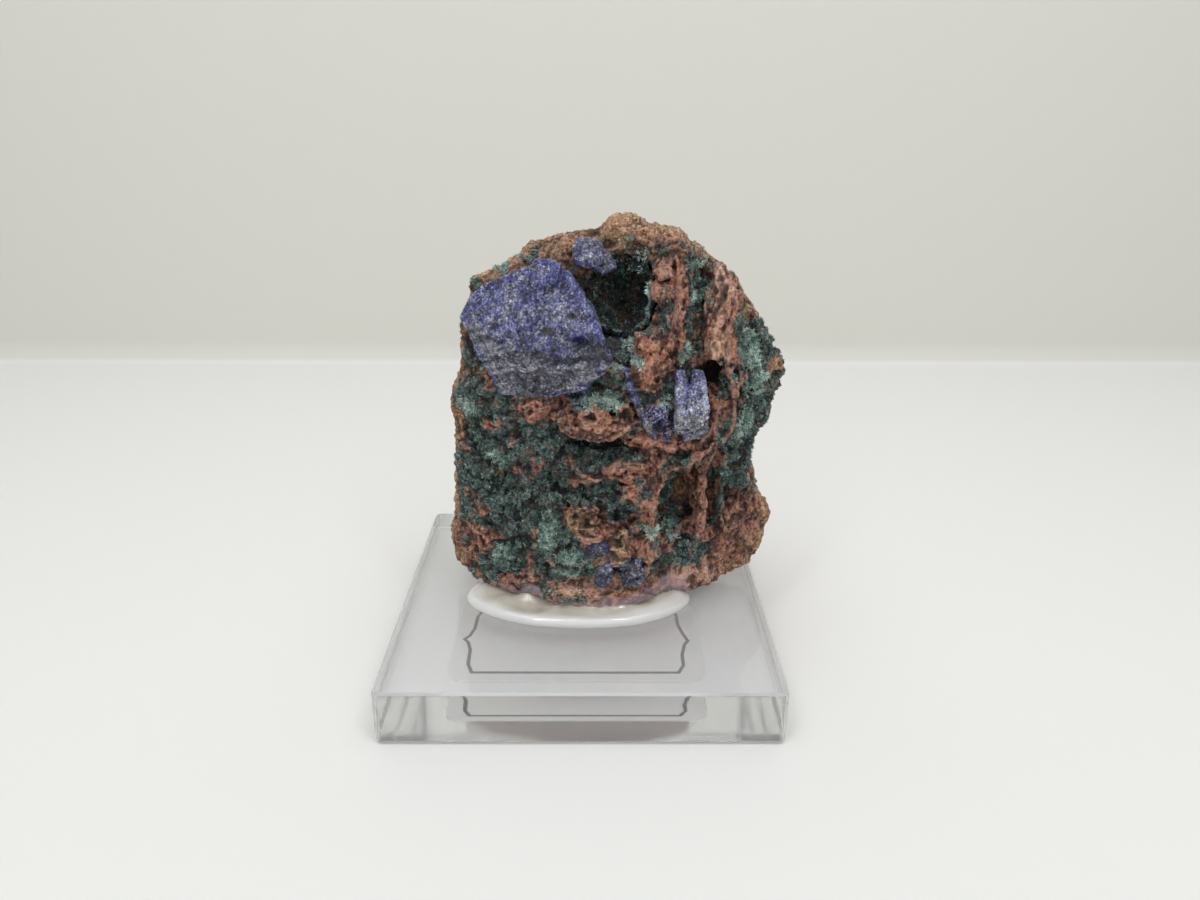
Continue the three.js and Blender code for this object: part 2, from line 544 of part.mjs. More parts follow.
// A closed mesh whose faces may all point in is turned to point out
function outwards(geometry) {
    const place = geometry.attributes.position;
    const index = geometry.index.array;
    const [a, b, c] = [0, 1, 2].map(() => new THREE.Vector3());
    let volume = 0;
    for (let i = 0; i < index.length; i += 3) {
        a.fromBufferAttribute(place, index[i]);
        b.fromBufferAttribute(place, index[i + 1]);
        c.fromBufferAttribute(place, index[i + 2]);
        volume += a.dot(b.cross(c));
    }
    if (volume < 0) {
        for (let i = 0; i < index.length; i += 3) {
            [index[i], index[i + 1]] = [index[i + 1], index[i]];
        }
    }
    return solid(geometry);
}

// A lump of rock has rough corners in front, and a smaller root behind them
function chunk(corners, seed) {
    const places = [];
    corners.forEach((corner, i) => {
        const rough = CHUNK.rough * (scatter(i, seed) - 0.5);
        const [across, up, out] = corner;
        places.push(toPlace([across + rough, up - rough, out + rough]));
        places.push(toPlace([across + rough, up, out - CHUNK.thick]));
    });
    const middle = places.reduce((sum, p) => sum.add(p), new THREE.Vector3()).divideScalar(places.length);
    places.push(middle.clone().add(new THREE.Vector3(0, CHUNK.root, 0)));
    return block(places);
}

function rockWithRelief(core) {
    const walls = WALLS.map((line, i) => wall(line, i * 7.3 + 1));
    const chunks = Object.values(CHUNKS).map((corners, i) => chunk(corners, i + 1));
    const pits = PITS.map((pit, i) => pebble({ ...pit, detail: 0, rough: PIT_ROUGH, seed: i * 3.7 }));
    return join([core, ...walls, ...chunks]).subtract(join(pits));
}

// The crystals

// A flat front with the given corners, and the same behind it, moved by the lean [across, up]
function prism(corners, thick, lean = [0, 0]) {
    const front = corners.map(toPlace);
    const back = front.map((p) => p.clone().add(new THREE.Vector3(lean[0], thick, lean[1])));
    return [...front, ...back];
}

function mainCrystalPlaces() {
    return prism([...MAIN_UPPER, ...MAIN_LOWER], MAIN_THICKNESS, MAIN_LEAN);
}

function bladePlaces() {
    const half = BLADE.width / 2;
    return BLADE_LINE.slice(1).map((end, i) => {
        const start = BLADE_LINE[i];
        const corners = [start, end].flatMap(([across, up, out]) => [
            [across - half, up + BLADE.tilt, out + BLADE.farEdge],
            [across + half, up, out],
            [across, up, out + BLADE.crest],
        ]);
        return prism(corners, BLADE.depth);
    });
}

// Each crystal as the corner points of its blocks, with any blocks cut away from it
const CRYSTALS = {
    azurite_main: { blocks: [mainCrystalPlaces(), MAIN_STEP.map(toPlace)], cuts: MAIN_NOTCHES },
    azurite_top: { blocks: TOP_BLOCKS.map((corners) => corners.map(toPlace)) },
    azurite_right: { blocks: RIGHT_BLOCKS.map((corners) => corners.map(toPlace)) },
    azurite_blade: { blocks: bladePlaces() },
    azurite_cavity: { blocks: CAVITY_BLOCKS.map((corners) => corners.map(toPlace)) },
    azurite_low_left: { blocks: LOW_LEFT_BLOCKS.map((corners) => corners.map(toPlace)) },
    azurite_low_middle: { blocks: LOW_MIDDLE_BLOCKS.map((corners) => corners.map(toPlace)) },
    azurite_low_right: { blocks: LOW_RIGHT_BLOCKS.map((corners) => corners.map(toPlace)) },
};

function crystal({ blocks, cuts = [] }) {
    let whole = join(blocks.map(block));
    for (const cut of cuts) {
        whole = whole.subtract(block(cut.map(toPlace)));
    }
    return whole;
}

function socket({ blocks }, gap) {
    return join(blocks.map((places) => grownBlock(places, gap)));
}

// The lined hollow

function caveBall(shrink, rough = CAVE.rough) {
    const half = CAVE.half.map((size) => size - shrink);
    return pebble({ at: CAVE.at, half, detail: 2, rough, seed: 4.4 });
}

function needle(root, direction, length, base) {
    const cone = new THREE.ConeGeometry(base, length, 4);
    cone.translate(0, length / 2, 0);
    cone.applyQuaternion(new THREE.Quaternion().setFromUnitVectors(new THREE.Vector3(0, 1, 0), direction));
    cone.translate(root.x, root.y, root.z);
    return solid(cone);
}

// Needles stand on the lining in the back half of the hollow and point into it
function needles() {
    const middle = toPlace(CAVE.at);
    const golden = Math.PI * (3 - Math.sqrt(5));
    const grown = [];
    for (let i = 0; i < NEEDLES.count; i++) {
        const y = blend(NEEDLES.span[0], NEEDLES.span[1], (i + 0.5) / NEEDLES.count);
        const ring = Math.sqrt(1 - y * y);
        const away = new THREE.Vector3(Math.cos(i * golden) * ring, y, Math.sin(i * golden) * ring);
        const inner = CAVE.half.map((size) => size - GAP - CAVE.lining * NEEDLES.sunk);
        const root = middle.clone().add(away.clone().multiply(new THREE.Vector3(...inner)));
        const lean = new THREE.Vector3(scatter(i, 1) - 0.5, scatter(i, 2) - 0.5, scatter(i, 3) - 0.5);
        const direction = away.clone().negate().addScaledVector(lean, NEEDLES.lean).normalize();
        const length = blend(NEEDLES.length[0], NEEDLES.length[1], scatter(i, 4));
        grown.push(needle(root, direction, length, NEEDLES.base));
    }
    return join(grown);
}

// Assembly

const core = rockCore();
const rock = rockWithRelief(core);
const sockets = join(Object.values(CRYSTALS).map((made) => socket(made, GAP)));
const matrix = rock.subtract(caveBall(0)).subtract(sockets);

const lining = caveBall(GAP).subtract(caveBall(GAP + CAVE.lining, CAVE.liningRough)).add(needles());
const crust = lining.intersect(caveBall(GAP)).intersect(core).subtract(sockets);

function padBlank() {
    const profile = [
        [0, 0], [0.95, 0], [1, 0.4], [0.98, PAD.lip * 0.8], [0.94, PAD.lip], [0.84, PAD.lip * 0.75],
        [0.68, 1.2], [0.5, 2], [0.25, PAD.mound * 0.85], [0, PAD.mound],
    ];
    const geometry = new THREE.LatheGeometry(profile.map(([r, up]) => new THREE.Vector2(r, up)), PAD.turns);
    const place = geometry.attributes.position;
    for (let i = 0; i < place.count; i++) {
        const x = place.getX(i);
        const y = -place.getZ(i);
        const up = place.getY(i);
        const angle = Math.atan2(y, x);
        const wobble = 1 + PAD.wobble * bumps(Math.cos(angle) * 1.6 + 7, Math.sin(angle) * 1.6, 2);
        const across = PAD.middle[0] + x * PAD.halfWidth * wobble;
        place.setXYZ(i, across, PAD.middle[1] + y * PAD.halfDepth * wobble, up);
    }
    return outwards(bareCopy(geometry));
}

// The glue is cut clear of the foot of the rock, which stands in it
function gluePad() {
    const corners = matrix.getMesh().vertProperties;
    const foot = [];
    for (let i = 0; i < corners.length; i += 3) {
        if (corners[i + 2] < PAD.mound) {
            foot.push(new THREE.Vector3(corners[i], corners[i + 1], corners[i + 2]));
        }
    }
    return padBlank().subtract(grownBlock(foot, GAP));
}

function roundedPlate(width, depth, corner, thick, bevel = 0) {
    const w = width / 2 - bevel;
    const d = depth / 2 - bevel;
    const shape = new THREE.Shape();
    shape.moveTo(-w + corner, -d);
    shape.lineTo(w - corner, -d);
    shape.absarc(w - corner, -d + corner, corner, -Math.PI / 2, 0);
    shape.lineTo(w, d - corner);
    shape.absarc(w - corner, d - corner, corner, 0, Math.PI / 2);
    shape.lineTo(-w + corner, d);
    shape.absarc(-w + corner, d - corner, corner, Math.PI / 2, Math.PI);
    shape.lineTo(-w, -d + corner);
    shape.absarc(-w + corner, -d + corner, corner, Math.PI, Math.PI * 1.5);
    const bevels = bevel > 0
        ? { bevelEnabled: true, bevelThickness: bevel, bevelSize: bevel, bevelSegments: 1 }
        : { bevelEnabled: false };
    const settings = { depth: thick - 2 * bevel, curveSegments: 2, ...bevels };
    const geometry = new THREE.ExtrudeGeometry(shape, settings);
    geometry.translate(0, 0, bevel);
    return geometry;
}

function part(name, geometry, look) {
    const mesh = new THREE.Mesh(geometry, new THREE.MeshStandardMaterial(look));
    mesh.name = name;
    return mesh;
}

const specimen = new THREE.Group();

const label = part('label', roundedPlate(LABEL.width, LABEL.depth, LABEL.corner, LABEL.thick), LOOKS.sticker);
label.position.set(LABEL.middle[0], LABEL.middle[1], 0);
specimen.add(label);

const acrylic = part('acrylic_block',
    roundedPlate(BLOCK.side, BLOCK.side, BLOCK.corner, BLOCK.height, BLOCK.bevel), LOOKS.acrylic);
acrylic.position.z = LABEL.thick;
specimen.add(acrylic);

const onBlock = new THREE.Group();
onBlock.position.z = LABEL.thick + BLOCK.height;
onBlock.add(part('glue_pad', geometryOf(gluePad()), LOOKS.glue));
onBlock.add(part('matrix', geometryOf(matrix), LOOKS.ironOxide));
onBlock.add(part('malachite_crust', geometryOf(crust), LOOKS.malachite));
for (const [name, made] of Object.entries(CRYSTALS)) {
    onBlock.add(part(name, geometryOf(crystal(made)), LOOKS.azurite));
}
specimen.add(onBlock);

export default specimen;
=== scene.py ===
# The looks of an azurite specimen: rough iron-oxide rock with malachite and azurite, on a clear block.
#
# Shapes are worked out in millimetres and turned into metres when an object is made. A place on the rock's
# front is given as across (to the right), up (above the block's top) and out (towards the viewer).
import itertools
import math

import bpy
import numpy as np
from mathutils import Matrix, Vector
from mathutils.bvhtree import BVHTree
from mathutils.geometry import delaunay_2d_cdt
from mathutils.kdtree import KDTree


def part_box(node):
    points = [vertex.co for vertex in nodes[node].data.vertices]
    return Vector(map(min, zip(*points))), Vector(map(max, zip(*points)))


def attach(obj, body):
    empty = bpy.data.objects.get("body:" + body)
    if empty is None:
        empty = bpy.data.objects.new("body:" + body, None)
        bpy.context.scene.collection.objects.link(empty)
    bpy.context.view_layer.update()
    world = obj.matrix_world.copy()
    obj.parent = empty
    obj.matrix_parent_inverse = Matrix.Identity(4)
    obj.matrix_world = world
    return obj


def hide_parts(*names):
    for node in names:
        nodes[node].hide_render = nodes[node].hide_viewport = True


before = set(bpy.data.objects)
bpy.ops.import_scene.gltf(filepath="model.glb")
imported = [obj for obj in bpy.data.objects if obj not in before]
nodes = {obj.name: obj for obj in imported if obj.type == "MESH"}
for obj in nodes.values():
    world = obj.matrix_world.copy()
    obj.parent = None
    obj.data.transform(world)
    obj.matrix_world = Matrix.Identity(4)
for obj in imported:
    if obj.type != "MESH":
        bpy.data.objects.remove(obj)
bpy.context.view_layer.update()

MM = 0.001


def box_of(name):
    """The low and the high corner of a CAD node's box in mm"""
    return [np.array(corner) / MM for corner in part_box(name)]


BLOCK_HIGH = box_of("acrylic_block")[1]
TOP = BLOCK_HIGH[2]

AZURITE_NODES = [name for name in nodes if name.startswith("azurite_")]

# Camera: where it stands in mm, how it is turned in degrees, and its lens for a 36 mm wide picture

CAMERA_PLACE = (1.49, -104.04, 66.44)
CAMERA_TURN = {"down": 21.49, "left": -0.34, "roll": 0.22}
CAMERA_LENS = 27.9

# Studio in mm: how far the floor is under the block, how far the painted light under the block (white floor
# that makes up for the light the clear block holds back) stays inside its edge, and where the wall stands.
# All the lights point at the middle of the rock.

FLOOR_DROP = 0.05
PAINTED_LIGHT_INSET = 0.6
WALL_AT = 128
WALL_BEND = 5
STUDIO = 900
ROCK_MIDDLE = (0, 0, 25)
AIR_STRENGTH = 0.385
LIGHTS = {
    "panel_above": {"place": (0, -60, 380), "size": (420, 260), "watts": 0.6},
    "panel_front": {"place": (0, -420, 200), "size": (420, 200), "watts": 0.29},
    "strip_left": {"place": (-90, -160, 290), "size": (30, 200), "watts": 0.13},
    "strip_right": {"place": (100, -150, 290), "size": (30, 200), "watts": 0.13},
}

# Rock in mm: the size of its skin's squares, where the front's pieces end, and where the front's minerals
# give way to the plain outside

FRONT_VOXEL = 0.185
BACK_VOXEL = 0.26
CRUST_VOXEL = 0.25
FRONT_TO_BACK = 1.2
FRONT_LEFT_TO_RIGHT = 3.5
SEAM_LAP = 0.35
OUTER_FROM, OUTER_TO = -0.6, 1.8
SOCKET_REACH = 0.75
HOLLOW_WIDENED = 0.5

# How high the film of glue reaches on the rock: the places across, and the heights there

FILM_REACH = ((-8, -6.4, -4.5, 0, 3, 6, 10, 12.5, 14), (2.6, 4.0, 2.2, 2.3, 3.0, 3.2, 4.4, 4.2, 0))

# The clear block's roughness, and how much of the light its faces and edges let through unscattered

SAWN_ROUGHNESS = 0.11
BEVEL_ROUGHNESS = 0.55
ACRYLIC_CLEARNESS = 0.9
TOP_CLEARNESS = 0.76
EDGE_CLEARNESS = 0.6

# The big crystal's upper and lower face meet along this line: across and up. Its growth lines slope up to
# the right by this much, and its groove is this deep.

FACE_LINE = ((-12.1, 35.0), (-8.9, 33.3), (-5.6, 32.8), (-2.7, 32.1), (0.5, 32.9), (3.3, 33.0))
GROWTH_SLOPE = 0.33
GROWTH_TURN = math.atan(GROWTH_SLOPE)
GROOVE_DEPTH = 0.28

# Dents in the big crystal's face: across, up, half width, half height and depth

FACE_DENTS = ((1.0, 34.0, 1.9, 0.75, 0.45), (-3.6, 35.2, 0.8, 0.4, 0.3), (-0.9, 37.0, 0.5, 0.4, 0.3))

# The crystals' skins in mm, and how much paler or darker some crystals are than the big one

MAIN_VOXEL = 0.19
SMALL_VOXEL = 0.13
LOW_CRYSTALS = ("azurite_low_left", "azurite_low_middle", "azurite_low_right")
PALE_CRYSTALS = {
    "azurite_right": 0.18,
    "azurite_top": -0.12,
    "azurite_low_left": -0.35,
    "azurite_low_middle": -0.05,
    "azurite_low_right": -0.2,
    "azurite_cavity": -0.2,
}

# Where the front shows each mineral: across, up, half width, half height

GREEN_PLACES = {
    "left wall": (-9.0, 16.7, 6.1, 10.4),
    "left edge": (-14.7, 12.8, 1.5, 7.8),
    "under the left corner": (-12.7, 30.1, 1.8, 4.4),
    "left foot": (-9.9, 6.4, 3.6, 3.5),
    "tufts above the big crystal": (-8.7, 41.0, 1.5, 0.7),
    "tufts beside them": (-5.9, 42.0, 0.9, 0.6),
    "over the hollow": (3.3, 42.1, 4.7, 2.1),
    "groove between the ribs": (12.5, 37.6, 1.7, 6.3),
    "top right": (14.3, 41.8, 2.4, 1.3),
    "right slope": (19.9, 27.8, 3.0, 6.8),
    "right slope, upper": (18.3, 34.8, 1.3, 3.4),
    "right slope, lower": (18.1, 19.1, 2.4, 4.5),
    "under the ledge": (1.5, 21.0, 5.2, 1.8),
    "middle": (2.1, 15.4, 4.9, 1.9),
    "low middle": (-2.4, 8.8, 2.8, 6.0),
    "lower right hollow": (11.2, 14.2, 2.0, 4.1),
    "low centre": (2.1, 5.4, 4.0, 1.6),
    "under the big crystal": (3.3, 28.8, 2.2, 1.4),
    "string along the hollow": (4.4, 32.1, 1.3, 0.9),
    "slot between the ribs": (15.1, 18.4, 0.8, 6.1),
    "low right": (12.8, 6.6, 1.4, 2.1),
    "beside the wedge": (-3.6, 23.7, 2.0, 3.5),
    "right rim of the hollow": (7.1, 37.0, 0.8, 2.5),
}
RED_PLACES = {
    "first rib, top": (10.3, 41.7, 0.9, 2.1),
    "first rib, middle": (10.7, 38.5, 0.7, 2.6),
    "first rib, low": (10.6, 34.4, 0.6, 2.6),
    "high lump": (8.7, 41.3, 1.0, 1.1),
    "low lump": (8.7, 39.3, 1.4, 1.4),
    "porous lump": (7.9, 32.0, 1.9, 3.7),
    "second rib, top": (15.6, 39.6, 1.3, 1.7),
    "second rib, middle": (14.8, 36.3, 1.3, 2.0),
    "second rib, low": (14.6, 33.6, 1.4, 2.0),
    "second rib, foot": (14.5, 27.3, 1.0, 4.6),
    "slanting wall": (12.6, 22.3, 2.9, 1.1),
    "ledge": (1.6, 25.6, 3.9, 1.8),
    "wedge": (-4.8, 26.3, 2.7, 1.4),
    "band under the crystals": (8.2, 22.2, 3.8, 1.2),
    "second band": (4.9, 18.9, 2.7, 0.7),
    "third rib": (8.5, 15.5, 0.7, 5.7),
    "fourth rib": (13.4, 14.4, 0.9, 7.0),
    "outcrop": (-0.4, 13.2, 2.0, 2.0),
    "dome": (4.4, 9.6, 1.2, 1.7),
    "bottom lip": (3.9, 3.7, 7.2, 1.6),
    "low left chip": (-5.7, 9.8, 0.6, 1.6),
    "lower right lobe": (19.3, 7.9, 3.3, 5.7),
    "low on the left": (-12.7, 8.3, 2.4, 1.9),
    "left foot": (-8.5, 3.4, 1.9, 1.0),
    "right foot": (14.3, 3.3, 4.9, 1.9),
    "between the small crystals": (9.5, 26.2, 1.3, 2.1),
}
OCHRE_PLACES = {
    "spot": (-9.8, 17.3, 0.6, 0.5),
    "lower spot": (-13.7, 14.0, 0.6, 0.8),
    "middle spot": (4.9, 15.9, 0.5, 0.5),
    "dome": (4.4, 9.6, 1.0, 1.6),
    "outcrop": (-0.4, 13.2, 1.6, 1.8),
    "left strip": (-14.8, 22.7, 0.9, 3.0),
    "left strip, low": (-15.7, 12.3, 0.7, 4.8),
    "right strip": (18.7, 36.5, 0.9, 2.0),
    "right tip": (22.6, 29.2, 1.2, 1.0),
}
BLUE_PLACES = {
    "between the small crystals": (8.7, 25.4, 1.5, 1.9),
    "under the blade": (9.6, 23.9, 0.9, 0.9),
    "under the big crystal": (-1.1, 27.9, 1.9, 0.6),
    "low patch": (5.4, 6.4, 1.6, 1.6),
    "low speck": (2.4, 6.0, 0.9, 1.0),
}

# Where the malachite's clumps stand out, larger and painted palest, as painted light

BRIGHT_PLACES = {
    "over the hollow": (5.0, 43.5, 1.3, 0.8),
    "right of the hollow, top": (6.6, 42.0, 0.9, 1.0),
    "right of the hollow": (7.1, 39.6, 0.7, 1.4),
    "star beside the hollow": (6.6, 36.4, 0.6, 0.8),
    "string along the hollow": (5.2, 33.2, 0.7, 0.7),
    "lower string": (6.1, 32.0, 0.7, 0.6),
    "string under the crystal": (4.0, 31.0, 0.8, 0.4),
    "tufts above the big crystal": (-9.4, 40.6, 1.5, 0.6),
    "tufts beside them": (-6.6, 41.8, 1.1, 0.5),
    "knot": (2.3, 43.8, 0.6, 0.6),
    "groove between the ribs": (12.3, 38.2, 0.9, 0.6),
    "groove, top": (13.3, 41.6, 0.9, 0.5),
    "under the big crystal": (2.6, 27.7, 2.0, 0.8),
    "beside the blade": (9.3, 27.4, 0.9, 0.8),
    "between rib and crystal": (11.2, 32.4, 0.6, 1.1),
    "low middle": (-3.9, 11.0, 1.0, 3.2),
    "low patch": (-0.6, 7.9, 2.2, 1.0),
    "lowest patch": (-1.6, 5.6, 1.6, 0.7),
    "right slope": (18.9, 32.3, 1.3, 2.2),
    "right slope, middle": (20.1, 28.2, 1.3, 1.6),
    "right slope, lower": (18.6, 23.6, 1.2, 1.9),
    "left shoulder": (-13.3, 25.4, 1.3, 1.2),
    "left foot": (-9.6, 6.6, 1.6, 1.2),
    "left wall": (-9.9, 19.5, 1.1, 1.1),
    "third rib's foot": (7.9, 11.6, 1.2, 0.6),
    "lower right hollow": (10.6, 10.2, 0.9, 0.9),
}

# Where the rock is painted nearly black: painted shadow in and beside the hollow

DARK_PLACES = {
    "left of the hollow": (1.5, 37.6, 1.9, 3.4),
    "corner under the hollow": (4.1, 33.9, 1.5, 0.9),
    "over the hollow's left": (-0.2, 41.2, 0.9, 0.7),
}

# Where the bare rock has fewer pits and is painted paler, as painted light

SMOOTH_PAINTED_LIGHT_PLACES = {
    "second rib": (15.2, 38.0, 1.4, 3.4),
    "second rib, low": (14.9, 33.4, 1.2, 1.9),
    "low": (0.5, 6.5, 7.5, 4.5),
    "right foot": (14.3, 4.0, 4.0, 2.2),
}

# Deep slots and pits, and their depth; they are also painted nearly black, as painted shade

SLOT_PLACES = {
    "beside the right crystal": (14.8, 29.7, 0.8, 1.4),
    "along the right crystal": (14.3, 26.2, 0.3, 2.0),
    "behind the second rib": (17.3, 30.4, 0.45, 0.9),
    "beside the third rib": (9.5, 14.2, 0.45, 3.3),
    "by the fourth rib": (12.7, 11.9, 0.5, 1.1),
    "under the ledge": (2.0, 21.3, 3.6, 0.35),
    "pit in the ledge": (0.9, 26.1, 0.8, 0.36),
}
SLOT_DEPTH = 0.9

# Thin crests on the front, as lines through places across and up, with half their width and their height

CRESTS = {
    "first rib": (
        (10.3, 42.5), (10.4, 41.0), (10.5, 39.3), (10.1, 38.0), (9.9, 36.4), (9.7, 34.9), (9.6, 33.3),
    ),
    "first rib, left": ((9.7, 42.3), (8.6, 41.0), (7.9, 39.1)),
    "second rib": (
        (16.5, 40.4), (16.1, 38.3), (16.0, 36.2), (16.1, 34.1), (16.0, 31.4), (16.8, 29.1), (17.3, 27.2),
    ),
    "second rib, low": ((17.3, 27.2), (17.1, 25.2), (16.9, 24.1), (15.8, 21.6), (14.7, 19.5), (14.3, 17.5)),
    "fourth rib": ((14.3, 17.5), (13.8, 15.4), (14.3, 13.7), (13.4, 11.1), (11.5, 10.0), (10.3, 8.2)),
    "third edge": ((17.4, 31.1), (17.8, 29.4), (17.2, 27.5)),
    "third rib": (
        (15.2, 24.5), (13.8, 22.8), (11.7, 20.0), (9.7, 19.1), (8.7, 16.6), (8.2, 14.2), (8.1, 11.4),
    ),
    "lowest rib": ((7.7, 9.8), (8.1, 8.2), (7.6, 5.0)),
    "ledge": ((-2.3, 24.6), (-1.5, 23.3), (1.5, 23.1), (3.6, 23.8), (5.2, 24.9)),
    "band": ((5.3, 23.2), (8.5, 22.8), (10.2, 22.0)),
    "middle": ((2.5, 19.1), (4.3, 20.0), (7.7, 19.6)),
}
CREST_HALF = 0.33
CREST_HEIGHT = 0.5


# Colours


def colour(hexed):
    """A colour as the shader takes it, from its usual six digits"""
    parts = [int(hexed[i : i + 2], 16) / 255 for i in (0, 2, 4)]
    linear = [p / 12.92 if p <= 0.04045 else ((p + 0.055) / 1.055) ** 2.4 for p in parts]
    return (*linear, 1)


# Noise, repeatable and the same on every machine


def hashed(cells, seed):
    """A number from 0 to 1 for each whole-numbered cell"""
    n = cells[..., 0] * 374761393 + cells[..., 1] * 668265263 + cells[..., 2] * 974634777 + seed * 144269504
    n = n & 0xFFFFFFFF
    n = ((n ^ (n >> 13)) * 1274126177) & 0xFFFFFFFF
    n = n ^ (n >> 16)
    return (n & 0xFFFFFF) / 0xFFFFFF


def smooth_noise(points, seed):
    """Soft bumps from -1 to 1, one unit across"""
    base = np.floor(points)
    part = points - base
    part = part * part * (3 - 2 * part)
    base = base.astype(np.int64)
    total = np.zeros(len(points))
    for step in itertools.product((0, 1), repeat=3):
        weight = np.prod(np.where(step, part, 1 - part), axis=1)
        total += weight * hashed(base + step, seed)
    return total * 2 - 1


def fractal(points, size, octaves, seed):
    """Bumps of a size, with smaller ones on them, from about -1 to 1"""
    total = np.zeros(len(points))
    strength = 1.0
    for octave in range(octaves):
        total += strength * smooth_noise(points * (2**octave / size) + octave * 17.3, seed + octave)
        strength *= 0.5
    return total / 1.5


def scattered(points, size, seed):
    """The distance to the nearest scattered centre, in sizes, and that centre's own number"""
    places = points / size
    base = np.floor(places).astype(np.int64)
    near = np.full(len(points), 9.0)
    mark = np.zeros(len(points))
    for step in itertools.product((-1, 0, 1), repeat=3):
        cell = base + step
        centre = cell + np.stack([hashed(cell, seed + axis) for axis in range(3)], axis=1)
        gap = np.linalg.norm(centre - places, axis=1)
        closer = gap < near
        mark = np.where(closer, hashed(cell, seed + 7), mark)
        near = np.where(closer, gap, near)
    return near, mark


def unit(vectors):
    """The same directions, one long"""
    return vectors / np.linalg.norm(vectors, axis=-1, keepdims=True)


def ease(low, high, values):
    """0 below low, 1 above high, and a soft step between"""
    share = np.clip((values - low) / (high - low), 0, 1)
    return share * share * (3 - 2 * share)


# Meshes


def read(items, key, sides, kind=np.float32):
    """One row of numbers for each item of a mesh"""
    numbers = np.empty(len(items) * sides, kind)
    items.foreach_get(key, numbers)
    return numbers.reshape(-1, sides)


def gathered(sources):
    """The corners in mm and the triangles of the named CAD nodes, taken together"""
    corners = []
    triangles = []
    start = 0
    for name in sources:
        mesh = nodes[name].data
        mesh.calc_loop_triangles()
        corners.append(read(mesh.vertices, "co", 3).astype(float) / MM)
        triangles.append(read(mesh.loop_triangles, "vertices", 3, np.int32) + start)
        start += len(mesh.vertices)
    return np.concatenate(corners), np.concatenate(triangles)


def placed(name, data):
    """A new object in the scene"""
    item = bpy.data.objects.new(name, data)
    bpy.context.scene.collection.objects.link(item)
    return item


def fill_mesh(mesh, corners, faces):
    """Puts corners and faces of one size into an empty mesh"""
    count, sides = faces.shape
    mesh.vertices.add(len(corners))
    mesh.vertices.foreach_set("co", np.asarray(corners, np.float32).ravel())
    mesh.loops.add(count * sides)
    mesh.loops.foreach_set("vertex_index", np.asarray(faces, np.int32).ravel())
    mesh.polygons.add(count)
    mesh.polygons.foreach_set("loop_start", np.arange(0, count * sides, sides, dtype=np.int32))
    mesh.update(calc_edges=True)
    mesh.validate()


def make(name, corners, faces, material, smooth=True):
    """A new object from corners in mm"""
    mesh = bpy.data.meshes.new(name)
    fill_mesh(mesh, np.asarray(corners) * MM, faces)
    mesh.polygons.foreach_set("use_smooth", np.full(len(mesh.polygons), smooth))
    mesh.materials.append(material)
    return placed(name, mesh)


def joined(name, corners, faces, materials):
    """A new object from corners in mm and faces of any number of sides"""
    mesh = bpy.data.meshes.new(name)
    mesh.from_pydata([Vector(corner) * MM for corner in corners], [], faces)
    for material in materials:
        mesh.materials.append(material)
    return placed(name, mesh)


def mark_points(item, **values):
    """Gives each corner of an object a number for its material to read"""
    for name, numbers in values.items():
        layer = item.data.attributes.new(name, "FLOAT", "POINT")
        layer.data.foreach_set("value", np.full(len(item.data.vertices), numbers, np.float32))


def evened(sources, voxel):
    """One even skin of small squares over the named CAD nodes: corners in mm, outward directions, faces"""
    mesh = bpy.data.meshes.new("scratch")
    fill_mesh(mesh, *gathered(sources))
    item = placed("scratch", mesh)
    remesh = item.modifiers.new("even", "REMESH")
    remesh.mode = "VOXEL"
    remesh.voxel_size = voxel
    skin = bpy.data.meshes.new_from_object(item.evaluated_get(bpy.context.evaluated_depsgraph_get()))
    points = read(skin.vertices, "co", 3).astype(float)
    outward = read(skin.vertex_normals, "vector", 3).astype(float)
    faces = read(skin.polygons, "vertices", 4, np.int32)
    bpy.data.objects.remove(item)
    bpy.data.meshes.remove(mesh)
    bpy.data.meshes.remove(skin)
    return points, outward, faces


def searcher(corners, faces):
    """A tree that finds the nearest place on a surface"""
    return BVHTree.FromPolygons([Vector(corner) for corner in corners], faces.tolist())


def nearest(tree, points, reach):
    """Each point's nearest place on the tree and how far that is, or itself and reach if none is near"""
    places = points.copy()
    gaps = np.full(len(points), float(reach))
    for i, point in enumerate(points):
        found = tree.find_nearest(Vector(point), reach)
        if found[0] is not None:
            places[i] = found[0]
            gaps[i] = found[3]
    return places, gaps


# Material nodes: the middle of a random colour, and the shader's sockets by short names

HALF = (0.5, 0.5, 0.5)
SOCKETS = {
    "base_color": "Base Color",
    "roughness": "Roughness",
    "ior": "IOR",
    "specular": "Specular IOR Level",
    "normal": "Normal",
    "transmission": "Transmission Weight",
    "coat": "Coat Weight",
    "coat_roughness": "Coat Roughness",
    "subsurface": "Subsurface Weight",
    "subsurface_radius": "Subsurface Radius",
    "subsurface_scale": "Subsurface Scale",
}


